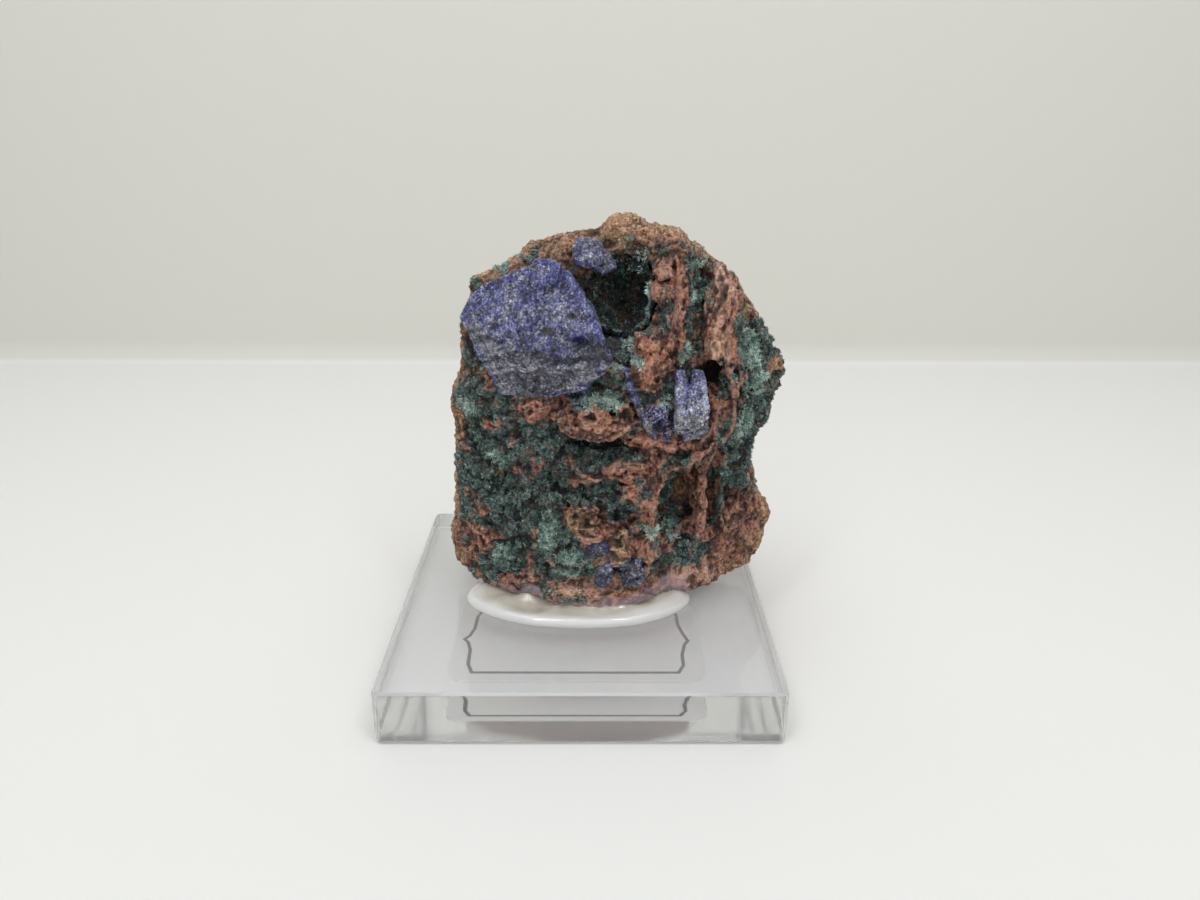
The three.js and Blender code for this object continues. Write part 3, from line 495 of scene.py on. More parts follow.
class Look:
    """A material with short ways to add nodes to it"""

    def __init__(self, name):
        self.material = bpy.data.materials.new(name)
        self.material.use_nodes = True
        self.tree = self.material.node_tree
        self.shader = self.tree.nodes["Principled BSDF"]
        self.place = self.add("ShaderNodeTexCoord").outputs["Object"]

    def put(self, node, socket, value):
        """Links a socket to another, or sets its own number or colour, which may be six digits"""
        if isinstance(value, bpy.types.NodeSocket):
            self.tree.links.new(value, node.inputs[socket])
        else:
            node.inputs[socket].default_value = colour(value) if isinstance(value, str) else value

    def add(self, kind, inputs=(), **settings):
        """A new shader node, with its settings and then its sockets filled in"""
        node = self.tree.nodes.new(kind)
        for name, value in settings.items():
            setattr(node, name, value)
        for socket, value in dict(inputs).items():
            self.put(node, socket, value)
        return node

    def set(self, **inputs):
        """Sets the shader's own sockets: base_color is Base Color"""
        for name, value in inputs.items():
            self.put(self.shader, SOCKETS[name], value)

    def attribute(self, name):
        return self.add("ShaderNodeAttribute", attribute_name=name).outputs["Fac"]

    def noise(self, size, detail, rough, place=None):
        scale = 1 / (size * MM)
        inputs = {"Vector": place or self.place, "Scale": scale, "Detail": detail, "Roughness": rough}
        return self.add("ShaderNodeTexNoise", inputs).outputs["Fac"]

    def cells(self, size, place, output="Distance", feature="F1"):
        inputs = {"Vector": place, "Scale": 1 / (size * MM)}
        return self.add("ShaderNodeTexVoronoi", inputs, feature=feature).outputs[output]

    def stretched(self, scale, turn=(0, 0, 0)):
        inputs = {"Vector": self.place, "Scale": scale, "Rotation": turn}
        return self.add("ShaderNodeMapping", inputs).outputs["Vector"]

    def vector(self, operation, first, second=(0, 0, 0), scale=1.0):
        """Arithmetic on a direction, a place or a colour"""
        inputs = {0: first, 1: second, 3: scale}
        return self.add("ShaderNodeVectorMath", inputs, operation=operation).outputs[0]

    def parts(self, vector):
        """A vector's X, Y and Z"""
        return self.add("ShaderNodeSeparateXYZ", {0: vector}).outputs

    def bent(self, size, amount):
        """The places, pushed about by noise of a size, both in mm, so that a pattern on them bends"""
        inputs = {"Vector": self.place, "Scale": 1 / (size * MM)}
        push = self.add("ShaderNodeTexNoise", inputs).outputs["Color"]
        middle = self.vector("SUBTRACT", push, HALF)
        return self.vector("ADD", self.place, self.vector("SCALE", middle, scale=amount * MM * 2))

    def blend(self, share, first, second):
        """A number between two others"""
        return self.add("ShaderNodeMix", {0: share, 2: first, 3: second}, data_type="FLOAT").outputs[0]

    def maths(self, operation, first, second):
        return self.add("ShaderNodeMath", {0: first, 1: second}, operation=operation).outputs[0]

    def total(self, first, *others):
        """The sum of all the values"""
        for other in others:
            first = self.maths("ADD", first, other)
        return first

    def span(self, value, low, high, to_low=0.0, to_high=1.0):
        inputs = {"Value": value, "From Min": low, "From Max": high, "To Min": to_low, "To Max": to_high}
        return self.add("ShaderNodeMapRange", inputs).outputs["Result"]

    def ramp(self, value, colours, places=None):
        """Colours by value, at the given places from 0 to 1 or evenly spaced"""
        colours = colours.split()
        node = self.add("ShaderNodeValToRGB", {"Fac": value})
        band = node.color_ramp
        while len(band.elements) < len(colours):
            band.elements.new(0.5)
        for element, at, digits in zip(band.elements, places or np.linspace(0, 1, len(colours)), colours):
            element.position = at
            element.color = colour(digits)
        return node.outputs["Color"]

    def mix(self, share, first, second, kind="MIX"):
        node = self.add("ShaderNodeMix", data_type="RGBA", blend_type=kind)
        self.put(node, 0, share)
        self.put(node, 6, first)
        self.put(node, 7, second)
        return node.outputs[2]

    def bump(self, height, depth, strength):
        inputs = {"Height": height, "Distance": depth * MM, "Strength": strength}
        return self.add("ShaderNodeBump", inputs).outputs["Normal"]

    def jittered(self, random_colour, amount, normal):
        """A direction, tilted by a random colour, so that small facets glint one by one"""
        tilt = self.vector("SCALE", self.vector("SUBTRACT", random_colour, HALF), scale=amount)
        return self.vector("NORMALIZE", self.vector("ADD", normal, tilt))




def red_stone(look, crumb, broad, patches, speck):
    """Pinkish and rusty stone in patches, with rusty specks"""
    uneven = look.span(broad, 0.25, 0.75, -0.15, 0.15)
    # The pale mark adds painted light: the stone is painted paler there
    stony = look.total(crumb, uneven, look.span(look.attribute("pale"), 0, 1, 0, 0.28))
    pink = look.ramp(stony, "372a2b 825f58 ba9084 dfb3a0 f6dccd")
    rusty = look.ramp(stony, "2d2223 76493a ab6f54 d39a78 efc9ac")
    red = look.mix(look.span(patches, 0.36, 0.56), pink, rusty)
    return look.mix(look.span(speck, 0.6, 0.72, 0, 0.8), red, "bf7a58")


def ochre_stone(look, crumb, broad, patches):
    """Sandy ochre, duller in patches"""
    sand = look.total(crumb, look.span(look.noise(0.2, 2, 0.6), 0.35, 0.65, -0.25, 0.25))
    sandy = look.total(sand, look.span(broad, 0.25, 0.75, -0.2, 0.2))
    ochre = look.ramp(sandy, "3f2d27 93694f c5966f e0b68e f5dabb")
    dull = look.mix(sand, "4a372d", "c2a893")
    return look.mix(look.span(patches, 0.46, 0.66, 0, 0.85), ochre, dull)


def green_stone(look, crumb, patches):
    """The ground between the needles of malachite, brown in patches"""
    green = look.ramp(crumb, "131717 333f3e 5f7370 9cb2ac d4e1dc", (0, 0.3, 0.6, 0.85, 1))
    brown = look.mix(crumb, "2a1d17", "a07a5e")
    return look.mix(look.span(patches, 0.5, 0.62, 0, 0.75), green, brown)


def blue_specks(look, skin, patches, speck):
    """Small crystals of azurite, too fine to be pieces of their own, on the rock's skin"""
    azure = look.ramp(look.span(speck, 0.35, 0.65), "1e1e34 4c4e80 8687b0 d8d7e4", (0, 0.4, 0.7, 1))
    blue = look.total(look.attribute("blue"), look.span(patches, 0.3, 0.7, -0.6, 0.4))
    return look.mix(look.span(blue, 0.62, 0.74), skin, azure)


def painted_shade_and_highlight(look, skin, crumb):
    """Painted light and shade on the skin: painted shade where it lies low, a painted highlight on the thin
    crests, and painted shadow, nearly black, in hollows and slots
    """
    # Painted shade: the skin is darkened where it lies low in its relief
    shade = look.ramp(look.attribute("height"), "323235 a0a0a2 ffffff", (0, 0.4, 0.7))
    skin = look.mix(1.0, skin, shade, "MULTIPLY")
    # Painted highlight: the thin crests are painted paler
    crest_highlight = look.mix(crumb, "8c6354", "dcb29e")
    skin = look.mix(look.maths("MULTIPLY", look.attribute("crest"), 0.5), skin, crest_highlight)
    # Painted shadow, nearly black, in and beside the hollow, and painted shade in the slots
    skin = look.mix(look.attribute("dark"), skin, look.mix(crumb, "1b2021", "4e544f"))
    return look.mix(look.maths("MULTIPLY", look.attribute("slot"), 0.8), skin, "15181a")


def rock_look():
    """Crumbly stone, whose fine pits are deep and painted dark as painted shade, under malachite, azurite
    and a film of glue
    """
    look = Look("iron_oxide_rock")
    level = look.noise(0.42, 6, 0.8, look.stretched((0.5, 1, 1.15)))
    upright = look.noise(0.42, 6, 0.8, look.stretched((1.15, 1, 0.45)))
    fine = look.blend(look.attribute("ribs"), level, upright)
    pits = look.cells(0.4, look.bent(0.6, 0.25))
    broad = look.noise(2.4, 3, 0.6)
    patches = look.noise(1.2, 4, 0.7)
    speck = look.noise(0.26, 2, 0.6)
    # crumb is darker in the fine pits: painted shade
    crumb = look.total(look.span(fine, 0.3, 0.7, 0, 0.75), look.span(pits, 0.05, 0.7, -0.2, 0.25))
    breakup = look.span(look.noise(0.3, 4, 0.75), 0.3, 0.7, -0.38, 0.38)
    ochre_share = look.span(look.total(look.attribute("ochre"), breakup), 0.35, 0.65)
    green_share = look.span(look.total(look.attribute("green"), breakup), 0.38, 0.62)
    red = red_stone(look, crumb, broad, patches, speck)
    skin = look.mix(ochre_share, red, ochre_stone(look, crumb, broad, patches))
    skin = look.mix(green_share, skin, green_stone(look, crumb, patches))
    skin = painted_shade_and_highlight(look, blue_specks(look, skin, patches, speck), crumb)
    film = look.attribute("film")
    wetted = look.mix(look.span(patches, 0.4, 0.65, 0.3, 0.7), skin, "a98895")
    look.set(base_color=look.mix(film, skin, wetted))
    bumps = look.blend(film, crumb, look.noise(1.0, 2, 0.5))
    look.set(normal=look.bump(bumps, 0.22, 0.9), specular=0.6)
    look.set(roughness=look.span(film, 0, 1, 0.9, 0.12), coat=film, coat_roughness=0.03)
    return look.material


def malachite_look():
    """Silky blades, each painted darker at its root and paler towards its tip, as painted shade among the
    blades
    """
    look = Look("malachite")
    tint = look.attribute("tint")
    along = look.attribute("along")
    # Painted shade: the blades are darker at the root and paler at the tip
    value = look.total(tint, look.maths("MULTIPLY", along, 0.38))
    hue = look.ramp(value, "141d1c 435a54 7a988c b4d2c4 ecf8f0", (0, 0.22, 0.45, 0.7, 1))
    look.set(base_color=hue, roughness=0.28, specular=0.7)
    return look.material


def hollow_look():
    """The inside of the hollow: malachite with rusty patches, painted nearly black as painted shadow"""
    look = Look("hollow_malachite_painted_shadow")
    crumb = look.noise(0.5, 5, 0.75)
    value = look.span(crumb, 0.3, 0.72)
    green = look.ramp(value, "0c0f10 2a3233 4b5955 768a82", (0, 0.5, 0.8, 1))
    rust = look.ramp(value, "140d0b 4c3226 a87353")
    patches = look.span(look.noise(1.8, 3, 0.6), 0.47, 0.6, 0, 0.9)
    look.set(base_color=look.mix(patches, green, rust), roughness=0.7, specular=0.3)
    look.set(normal=look.bump(crumb, 0.3, 0.9))
    return look.material


def azurite_colours(look, value, bluish):
    """Grey with some tan, and deep blue where the surface is bluish; the near-white at the top of the ramps
    is painted glints
    """
    grey = look.ramp(value, "14141d 4e505e 888a98 bebdc0 f6f2ee", (0, 0.3, 0.55, 0.8, 1))
    tan = look.mix(look.span(look.noise(1.7, 2, 0.5), 0.6, 0.75, 0, 0.35), grey, "8f8272")
    blue = look.ramp(value, "121232 3d417c 6d71b0 a6a8ce dedfec", (0, 0.3, 0.55, 0.8, 1))
    return look.mix(look.span(bluish, 0.3, 0.7), tan, blue)


def azurite_look():
    """Dull facets of many small plates, grey in some places and deep blue in others, with bright glints"""
    look = Look("azurite")
    plates = look.cells(0.8, look.bent(0.6, 0.3), "Color")
    plate_tone = look.add("ShaderNodeSeparateColor", {0: plates}).outputs[0]
    crooked = look.bent(0.35, 0.14)
    facets = look.cells(0.3, crooked, "Color")
    cracks = look.cells(0.3, crooked, feature="DISTANCE_TO_EDGE")
    facet_parts = look.add("ShaderNodeSeparateColor", {0: facets}).outputs
    streaks = look.noise(0.22, 3, 0.75, look.stretched((0.6, 1, 1.3), (0, GROWTH_TURN, 0)))
    grain = look.blend(look.attribute("streaked"), look.noise(0.25, 3, 0.7), streaks)
    value = look.total(
        look.span(grain, 0.3, 0.7, 0.06, 0.66),
        look.span(plate_tone, 0, 1, -0.07, 0.14),
        look.span(facet_parts[1], 0, 1, -0.12, 0.32),
        # Painted shade: darker in the low pits, grooves and dents, paler where raised
        look.span(look.attribute("height"), 0, 1, -0.3, 0.22),
        look.attribute("pale"),
        look.span(cracks, 0, 0.1, -0.24, 0),
    )
    patch = look.span(look.noise(0.9, 4, 0.72), 0.35, 0.65, -0.34, 0.34)
    bluish = look.total(look.attribute("blue"), patch, look.span(facet_parts[2], 0, 1, -0.15, 0.15))
    look.set(base_color=azurite_colours(look, value, bluish))
    relief = look.bump(look.total(grain, look.span(cracks, 0, 0.12, 0, 0.5)), 0.14, 1.0)
    tilted = look.jittered(plates, 0.45, look.jittered(facets, 0.7, relief))
    glossy = look.span(facet_parts[0], 0.85, 0.97, 0.45, 0.16)
    look.set(normal=tilted, roughness=glossy, specular=0.7)
    return look.material


def acrylic_look():
    """Clear and polished, with sides that keep the fine upright marks of the saw and dull rubbed edges"""
    look = Look("clear_acrylic")
    facing = look.add("ShaderNodeNewGeometry").outputs["Normal"]
    parts = look.parts(look.vector("ABSOLUTE", facing))
    squarest = look.maths("MAXIMUM", look.maths("MAXIMUM", parts["X"], parts["Y"]), parts["Z"])
    side = look.span(parts["Z"], 0.6, 0.4)
    edge = look.span(squarest, 0.99, 0.95)
    marks = look.noise(0.35, 2, 0.5, look.stretched((1, 1, 0.08)))
    on_top = look.maths("GREATER_THAN", look.parts(look.place)["Z"], (TOP - 0.05) * MM)
    clearness = look.blend(on_top, ACRYLIC_CLEARNESS, TOP_CLEARNESS)
    look.set(transmission=look.blend(edge, clearness, EDGE_CLEARNESS))
    look.set(base_color="ffffff", ior=1.49)
    sawn = look.maths("MULTIPLY", side, SAWN_ROUGHNESS)
    look.set(roughness=look.maths("MAXIMUM", sawn, look.maths("MULTIPLY", edge, BEVEL_ROUGHNESS)))
    look.set(normal=look.bump(marks, 0.02, look.maths("MULTIPLY", side, 0.5)))
    return look.material


def glue_look():
    """Milky clear glue, whiter where it is thick at the rim"""
    look = Look("clear_glue")
    thin = look.ramp(look.noise(3, 3, 0.5), "d6d0c0 f0ebde", (0.3, 0.7))
    top = look.mix(look.attribute("rim"), thin, "fffdf4")
    stone = look.ramp(look.noise(1.4, 4, 0.6), "2a1518 8a3a34 a87674", (0.35, 0.5, 0.65))
    look.set(base_color=look.mix(look.attribute("touching"), top, stone))
    look.set(roughness=0.08, ior=1.48, transmission=0.15, coat=1.0, coat_roughness=0.03)
    look.set(subsurface=0.6, subsurface_radius=(1.0, 0.97, 0.9), subsurface_scale=0.002)
    look.set(normal=look.bump(look.noise(2.2, 2, 0.4), 0.3, 0.7))
    return look.material


def label_looks():
    """The sticker's paper and the ink of its line"""
    paper = Look("label_film")
    paper.set(base_color="fdfcf8", roughness=0.5)
    ink = Look("label_line")
    ink.set(base_color="14181b", roughness=0.5)
    return paper.material, ink.material


# Camera, studio and light


def camera():
    """Stands where the photograph was taken from"""
    down, left, roll = (math.radians(CAMERA_TURN[key]) for key in ("down", "left", "roll"))
    data = bpy.data.cameras.new("camera")
    data.sensor_width = 36
    data.lens = CAMERA_LENS
    data.clip_start = 0.005
    data.clip_end = 20
    item = placed("camera", data)
    level = Matrix.Rotation(left, 4, "Z") @ Matrix.Rotation(math.pi / 2 - down, 4, "X")
    turn = level @ Matrix.Rotation(roll, 4, "Z")
    item.matrix_world = Matrix.Translation(Vector(CAMERA_PLACE) * MM) @ turn
    bpy.context.scene.camera = item


def studio():
    """A pale floor that bends up into a wall behind the rock, painted white under the clear block as
    painted light, to make up for the light that the block holds back
    """
    bend = [
        (WALL_AT - WALL_BEND * (1 - math.sin(turn)), WALL_BEND * (1 - math.cos(turn)))
        for turn in np.linspace(0, math.pi / 2, 10)
    ]
    profile = [(-STUDIO, 0), *bend, (WALL_AT, STUDIO)]
    corners = [(side, y, z - FLOOR_DROP) for y, z in profile for side in (-STUDIO, STUDIO)]
    faces = [(2 * i, 2 * i + 1, 2 * i + 3, 2 * i + 2) for i in range(len(profile) - 1)]
    look = Look("pale_floor")
    parts = look.parts(look.vector("ABSOLUTE", look.place))
    furthest = look.maths("MAXIMUM", parts["X"], parts["Y"])
    # Painted light: the floor is painted white under the clear block
    under = look.maths("LESS_THAN", furthest, (BLOCK_HIGH[0] - PAINTED_LIGHT_INSET) * MM)
    wall = look.span(parts["Z"], 0.3 * MM, 1.0 * MM)
    pale = look.mix(wall, "eeedea", "e2e1d8")
    look.set(base_color=look.mix(under, pale, "ffffff"), roughness=0.7, specular=0.2)
    make("floor", np.array(corners, float), np.array(faces), look.material)


def light(name, place, size, watts):
    """A rectangular light that points at the rock"""
    data = bpy.data.lights.new(name, "AREA")
    data.shape = "RECTANGLE"
    data.size, data.size_y = (length * MM for length in size)
    data.energy = watts
    item = placed(name, data)
    aim = (Vector(ROCK_MIDDLE) - Vector(place)).to_track_quat("-Z", "Y")
    item.matrix_world = Matrix.Translation(Vector(place) * MM) @ aim.to_matrix().to_4x4()


def lights():
    """Soft light from all round, and four lights above"""
    scene = bpy.context.scene
    scene.view_settings.view_transform = "Standard"
    world = bpy.data.worlds.new("studio_air")
    world.use_nodes = True
    world.node_tree.nodes["Background"].inputs["Color"].default_value = colour("f4f8ff")
    world.node_tree.nodes["Background"].inputs["Strength"].default_value = AIR_STRENGTH
    scene.world = world
    for name, settings in LIGHTS.items():
        light(name, **settings)


# The rock


def share_of(points, places, seed):
    """How much each point belongs to any of the named places on the front"""
    wobble = 0.42 * fractal(points, 1.2, 4, seed)
    best = np.zeros(len(points))
    for across, up, half_width, half_height in places.values():
        gap = np.hypot((points[:, 0] - across) / half_width, (points[:, 2] - TOP - up) / half_height)
        best = np.maximum(best, 1 - ease(0.7, 1.25, gap + wobble))
    return best


def green_share(points, outer, red, spots):
    """How much malachite there is: by its places on the front, and in patches on the outside"""
    green = share_of(points, GREEN_PLACES, 23)
    stray = ease(-0.1, 0.4, fractal(points, 1.7, 3, 51))
    back_green = 0.75 * ease(0.15, 0.6, fractal(points, 4.5, 3, 61))
    bare = ease(0.12, 0.42, fractal(points, 1.9, 3, 57))
    front_green = np.maximum(green * (1 - 0.75 * bare), 0.75 * stray) * (1 - 0.85 * red)
    up = points[:, 2] - TOP
    right_slope = ease(16, 19, points[:, 0]) * ease(20, 24, up) * (1 - ease(33, 38, up))
    outer_green = np.maximum(back_green, right_slope * (0.6 + 0.5 * stray) * (1 - ease(3, 6, points[:, 1])))
    deep = ease(0.1, -0.45, fractal(points, 2.3, 3, 101)) * (1 - 0.4 * red)
    green = np.maximum(front_green, 0.8 * deep) * (1 - outer) + outer_green * outer
    return green * (1 - 0.9 * spots)


def film_share(points):
    """Where the glue has crept up the rock's foot"""
    foot = points[:, 2] - TOP + 0.9 * fractal(points, 1.5, 3, 81)
    reach = np.interp(points[:, 0], *FILM_REACH)
    return (1 - ease(reach - 0.6, reach, foot)) * (1 - ease(-4, 0, points[:, 1]))


def minerals(points):
    """The shares of malachite, ochre, film of glue and so on at each point of the rock"""
    outer = ease(OUTER_FROM, OUTER_TO, points[:, 1] + 0.9 * fractal(points, 2.2, 3, 40))
    front = 1 - outer
    spots = share_of(points, OCHRE_PLACES, 31)
    green = green_share(points, outer, share_of(points, RED_PLACES, 11), spots)
    dark = np.maximum(in_hollow(points), share_of(points, DARK_PLACES, 93) * front)
    crest = crest_share(points) * front * (1 - dark)
    slot = share_of(points, SLOT_PLACES, 97) * front * (1 - crest)
    return {
        "green": np.maximum(green * (1 - 0.9 * crest), dark),
        "ochre": np.maximum(spots, outer) * (1 - dark),
        "film": film_share(points),
        "bright": share_of(points, BRIGHT_PLACES, 71) * (1 - slot),
        "outer": outer,
        "dark": dark,
        "blue": share_of(points, BLUE_PLACES, 87) * front,
        "ribs": ease(6, 8.5, points[:, 0]),
        "crest": crest,
        "slot": slot,
        "pale": share_of(points, SMOOTH_PAINTED_LIGHT_PLACES, 103) * front,
    }


def crest_share(points):
    """1 on the crests' lines, falling off to 0 beside them"""
    places = points[:, [0, 2]] - (0, TOP)
    gap = np.full(len(points), 99.0)
    for line in CRESTS.values():
        for start, end in itertools.pairwise(np.array(line)):
            run = end - start
            share = ((places - start) @ run / (run @ run)).clip(0, 1)
            gap = np.minimum(gap, np.linalg.norm(places - start - share[:, None] * run, axis=1))
    uneven = 0.75 + 0.35 * fractal(points, 1.1, 2, 301)
    return (1 - (gap + 0.1 * fractal(points, 0.7, 2, 305)) / CREST_HALF).clip(0, 1) * uneven.clip(0, 1)


def warped(points, size, amount, seed):
    """The same points, pushed about by soft noise, so that patterns on them bend"""
    push = np.stack([fractal(points, size, 2, seed + 10 * axis) for axis in range(3)], axis=1)
    return points + amount * push


def ridged(points, stretch, power, seed):
    """Thin crests from 0 to 1, drawn out along the axes by the stretch in mm"""
    return (1 - 1.5 * np.abs(smooth_noise(points / stretch, seed))).clip(0, 1) ** power


def relief(points, shares):
    """How far each point of the rock is moved outwards in mm, and how high that is for its kind (0 to 1),
    which the material turns into painted shade
    """
    bent = warped(points, 1.6, 0.6, 90)
    lumps = 0.25 * fractal(points, 2.3, 3, 101)
    grit = fractal(points, 0.42, 2, 161)
    ribs = shares["ribs"]
    upright = ridged(bent, (1.1, 1.2, 4.0), 3, 131)
    level = ridged(bent, (3.0, 1.6, 1.0), 3, 132)
    crests = upright * ribs + level * (1 - ribs)
    crumble = fractal(bent * (1, 1, 0.75), 0.8, 3, 135)
    pits = ease(0.12, 0.45, fractal(bent, 0.62, 2, 111)) * (1 - 0.85 * shares["pale"])
    stony = 0.3 * crests + 0.3 * crumble - 0.34 * pits - 0.08
    clump_near, clump = scattered(points, 1.05, 141)
    fuzz_near, fuzz = scattered(points, 0.5, 151)
    clumps = (1 - clump_near**2).clip(0, 1) * (0.3 + clump)
    fuzzy = (1 - fuzz_near**2).clip(0, 1) * (0.4 + fuzz)
    leafy = 0.8 * clumps + 0.25 * fuzzy - 0.62
    broken = 0.5 * fractal(points, 1.5, 3, 171) + 0.26 * fuzzy + 0.12 * crumble - 0.15
    outer = shares["outer"]
    green = shares["green"]
    bare = stony * (1 - outer) + broken * outer
    height = lumps + 0.16 * grit + leafy * green + bare * (1 - green)
    stony_height = ease(-0.4, 0.3, stony + 0.16 * grit) * (1 - outer) + ease(-0.5, 0.3, broken) * outer
    share = ease(-0.5, 0.35, leafy) * green + stony_height * (1 - green)
    crest = shares["crest"]
    height = height * (1 - 0.6 * crest) + CREST_HEIGHT * crest - SLOT_DEPTH * shares["slot"]
    # Crests get a high share, so that the painted shade leaves them fully lit
    return height, np.maximum(share, ease(0.1, 0.5, crest))


def in_hollow(points):
    """1 inside the main hollow and 0 outside it"""
    low, high = box_of("malachite_crust")
    middle = (low + high) / 2
    return 1 - ease(0.85, 1.1, np.linalg.norm((points - middle) / ((high - low) / 2 + 0.6), axis=1))


def close_sockets(points):
    """Draws the rock in to the crystals that it grew round"""
    places, gaps = nearest(searcher(*gathered(AZURITE_NODES)), points, SOCKET_REACH)
    share = ease(SOCKET_REACH, 0.45, gaps)[:, None]
    return points + (places - points) * share


ROCK_MARKS = ("green", "ochre", "film", "dark", "blue", "ribs", "crest", "slot", "pale")


def dress(piece, stands_for=None):
    """Hides the CAD node that a piece takes the place of, if any, and puts the piece in the still root body
    """
    if stands_for:
        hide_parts(stands_for)
    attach(piece, "root")


def rock_skin(voxel, look, pieces):
    """Lays a fine skin over the rock and cuts pieces from it, each by its own test of the faces' middles"""
    points, outward, faces = evened(["matrix"], voxel)
    shares = minerals(points)
    height, height_share = relief(points, shares)
    height *= (1 - 0.75 * shares["dark"]) * (1 - 0.6 * shares["film"])
    moved = close_sockets(points + outward * height[:, None])
    moved[:, 2] = np.maximum(moved[:, 2], TOP + 0.05)
    middles = points[faces].mean(axis=1)
    for name, test in pieces.items():
        used, local = np.unique(faces[test(middles)], return_inverse=True)
        piece = make(name, moved[used], local.reshape(-1, 4), look)
        values = {key: shares[key][used] for key in ROCK_MARKS}
        # The height share becomes painted shade in the material: darker where the skin lies low
        mark_points(piece, height=height_share[used], **values)
        dress(piece, "matrix")
    return moved, faces, {**shares, "height": height_share}


def rock():
    """The front in a fine skin and the back, which shows less, in a coarser one"""
    look = rock_look()
    rock_skin(BACK_VOXEL, look, {"rock_back": lambda at: at[:, 1] > FRONT_TO_BACK - SEAM_LAP})
    front = {
        "rock_front_left": lambda at: (at[:, 1] < FRONT_TO_BACK) & (at[:, 0] < FRONT_LEFT_TO_RIGHT),
        "rock_front_right": lambda at: (at[:, 1] < FRONT_TO_BACK) & (at[:, 0] >= FRONT_LEFT_TO_RIGHT),
    }
    return rock_skin(FRONT_VOXEL, look, front)


# Malachite: the blades' width in mm, how flat they are, and how far their roots are sunk in the skin

BLADE_WIDTH = 0.07
BLADE_FLATNESS = 0.5
BLADE_SUNK = 0.1
BLADE_SIDES = np.array([(0, 1, 3), (1, 2, 3), (2, 0, 3)])


def grow(name, roots, directions, lengths, widths, tints, chance, material):
    """Blades of three sides, each broader one way than the other and ending in a point"""
    count = len(roots)
    side = unit(np.cross(directions, chance.normal(size=(count, 3))))
    other = np.cross(directions, side)
    corners = np.empty((count, 4, 3))
    for i in range(3):
        turn = 2 * math.pi * i / 3
        around = side * math.cos(turn) + other * math.sin(turn) * BLADE_FLATNESS
        corners[:, i] = roots + around * widths[:, None]
    corners[:, 3] = roots + directions * lengths[:, None]
    faces = (np.arange(count)[:, None, None] * 4 + BLADE_SIDES).reshape(-1, 3)
    item = make(name, corners.reshape(-1, 3), faces, material, smooth=False)
    # along is 0 at a blade's root and 1 at its tip, which the material paints paler as painted light
    mark_points(item, tint=np.repeat(tints, 4), along=np.tile([0, 0, 0, 1.0], count))
    return item


def sample(points, faces, weights, count, chance):
    """Places spread over the faces by weight, with the faces' directions"""
    corners = points[faces]
    across = np.cross(corners[:, 2] - corners[:, 0], corners[:, 3] - corners[:, 1])
    area = np.linalg.norm(across, axis=1)
    odds = np.cumsum(area * weights[faces].mean(axis=1))
    picked = np.searchsorted(odds, chance.random(count) * odds[-1])
    u, v = chance.random((2, count, 1))
    picked_corners = corners[picked]
    low = picked_corners[:, 0] * (1 - u) + picked_corners[:, 1] * u
    high = picked_corners[:, 3] * (1 - u) + picked_corners[:, 2] * u
    return low * (1 - v) + high * v, across[picked] / area[picked][:, None], faces[picked, 0]


def druse(name, skin, weights, bright, clumps, blades, radius, seed, material):
    """Rounded clumps of malachite, whose short blades stand out all round from a point on the skin"""
    points, faces = skin
    chance = np.random.default_rng(seed)
    places, outward, corner = sample(points, faces, weights, clumps, chance)
    # lit: how much a clump is grown larger and painted paler, as painted light
    lit = bright[corner] * chance.uniform(0.2, 1, clumps)
    size = radius * chance.uniform(0.5, 1.3, (clumps, 1)) * (1 + 0.3 * lit[:, None])
    directions = unit(outward[:, None] * 0.45 + chance.normal(0, 0.75, (clumps, blades, 3)))
    sunk = (directions * outward[:, None]).sum(axis=2) < -0.1
    directions[sunk] *= -1
    start = size[..., None] * chance.uniform(0.1, 0.6, (clumps, blades, 1))
    roots = places[:, None] - outward[:, None] * BLADE_SUNK + directions * start
    lengths = size * chance.uniform(0.5, 1.0, (clumps, blades))
    shade = chance.beta(1.2, 2.8, (clumps, 1)) * 0.66 - 0.06 + 0.6 * lit[:, None]
    tint = shade + chance.normal(0, 0.12, (clumps, blades))
    thick = BLADE_WIDTH * chance.uniform(0.6, 1.5, (clumps, blades))
    flat = [array.reshape(-1, *array.shape[2:]) for array in (roots, directions, lengths, thick, tint)]
    return grow(name, *flat, chance, material)


def hollow_lining(material):
    """The inner wall of the main hollow, without the outside of its shell, which the rock hides"""
    points, outward, faces = evened(["malachite_crust"], CRUST_VOXEL)
    near, mark = scattered(points, 0.8, 171)
    height = 0.35 * (1 - near**2).clip(0, 1) * (0.4 + mark) + 0.12 * fractal(points, 0.5, 2, 181)
    middle = (points.min(axis=0) + points.max(axis=0)) / 2
    away = unit(points - middle)
    inner = ease(0.1, -0.3, (away * outward).sum(axis=1))
    ragged = HOLLOW_WIDENED + 0.9 * fractal(points, 1.6, 2, 187)
    points = points + outward * (height - 0.15)[:, None] + away * (ragged * inner)[:, None]
    kept = faces[inner[faces].min(axis=1) > 0.3]
    used, local = np.unique(kept, return_inverse=True)
    item = make("hollow_lining", points[used], local.reshape(-1, 4), material)
    # The rim share: needles gather and are painted paler towards the hollow's front, and fewer, darker ones
    # stand deeper in, as painted shade
    rim = ease(0.6, 2.2, middle[1] - points[:, 1]) * ease(-0.2, 0.3, fractal(points, 1.4, 2, 197))
    return item, points, kept, rim


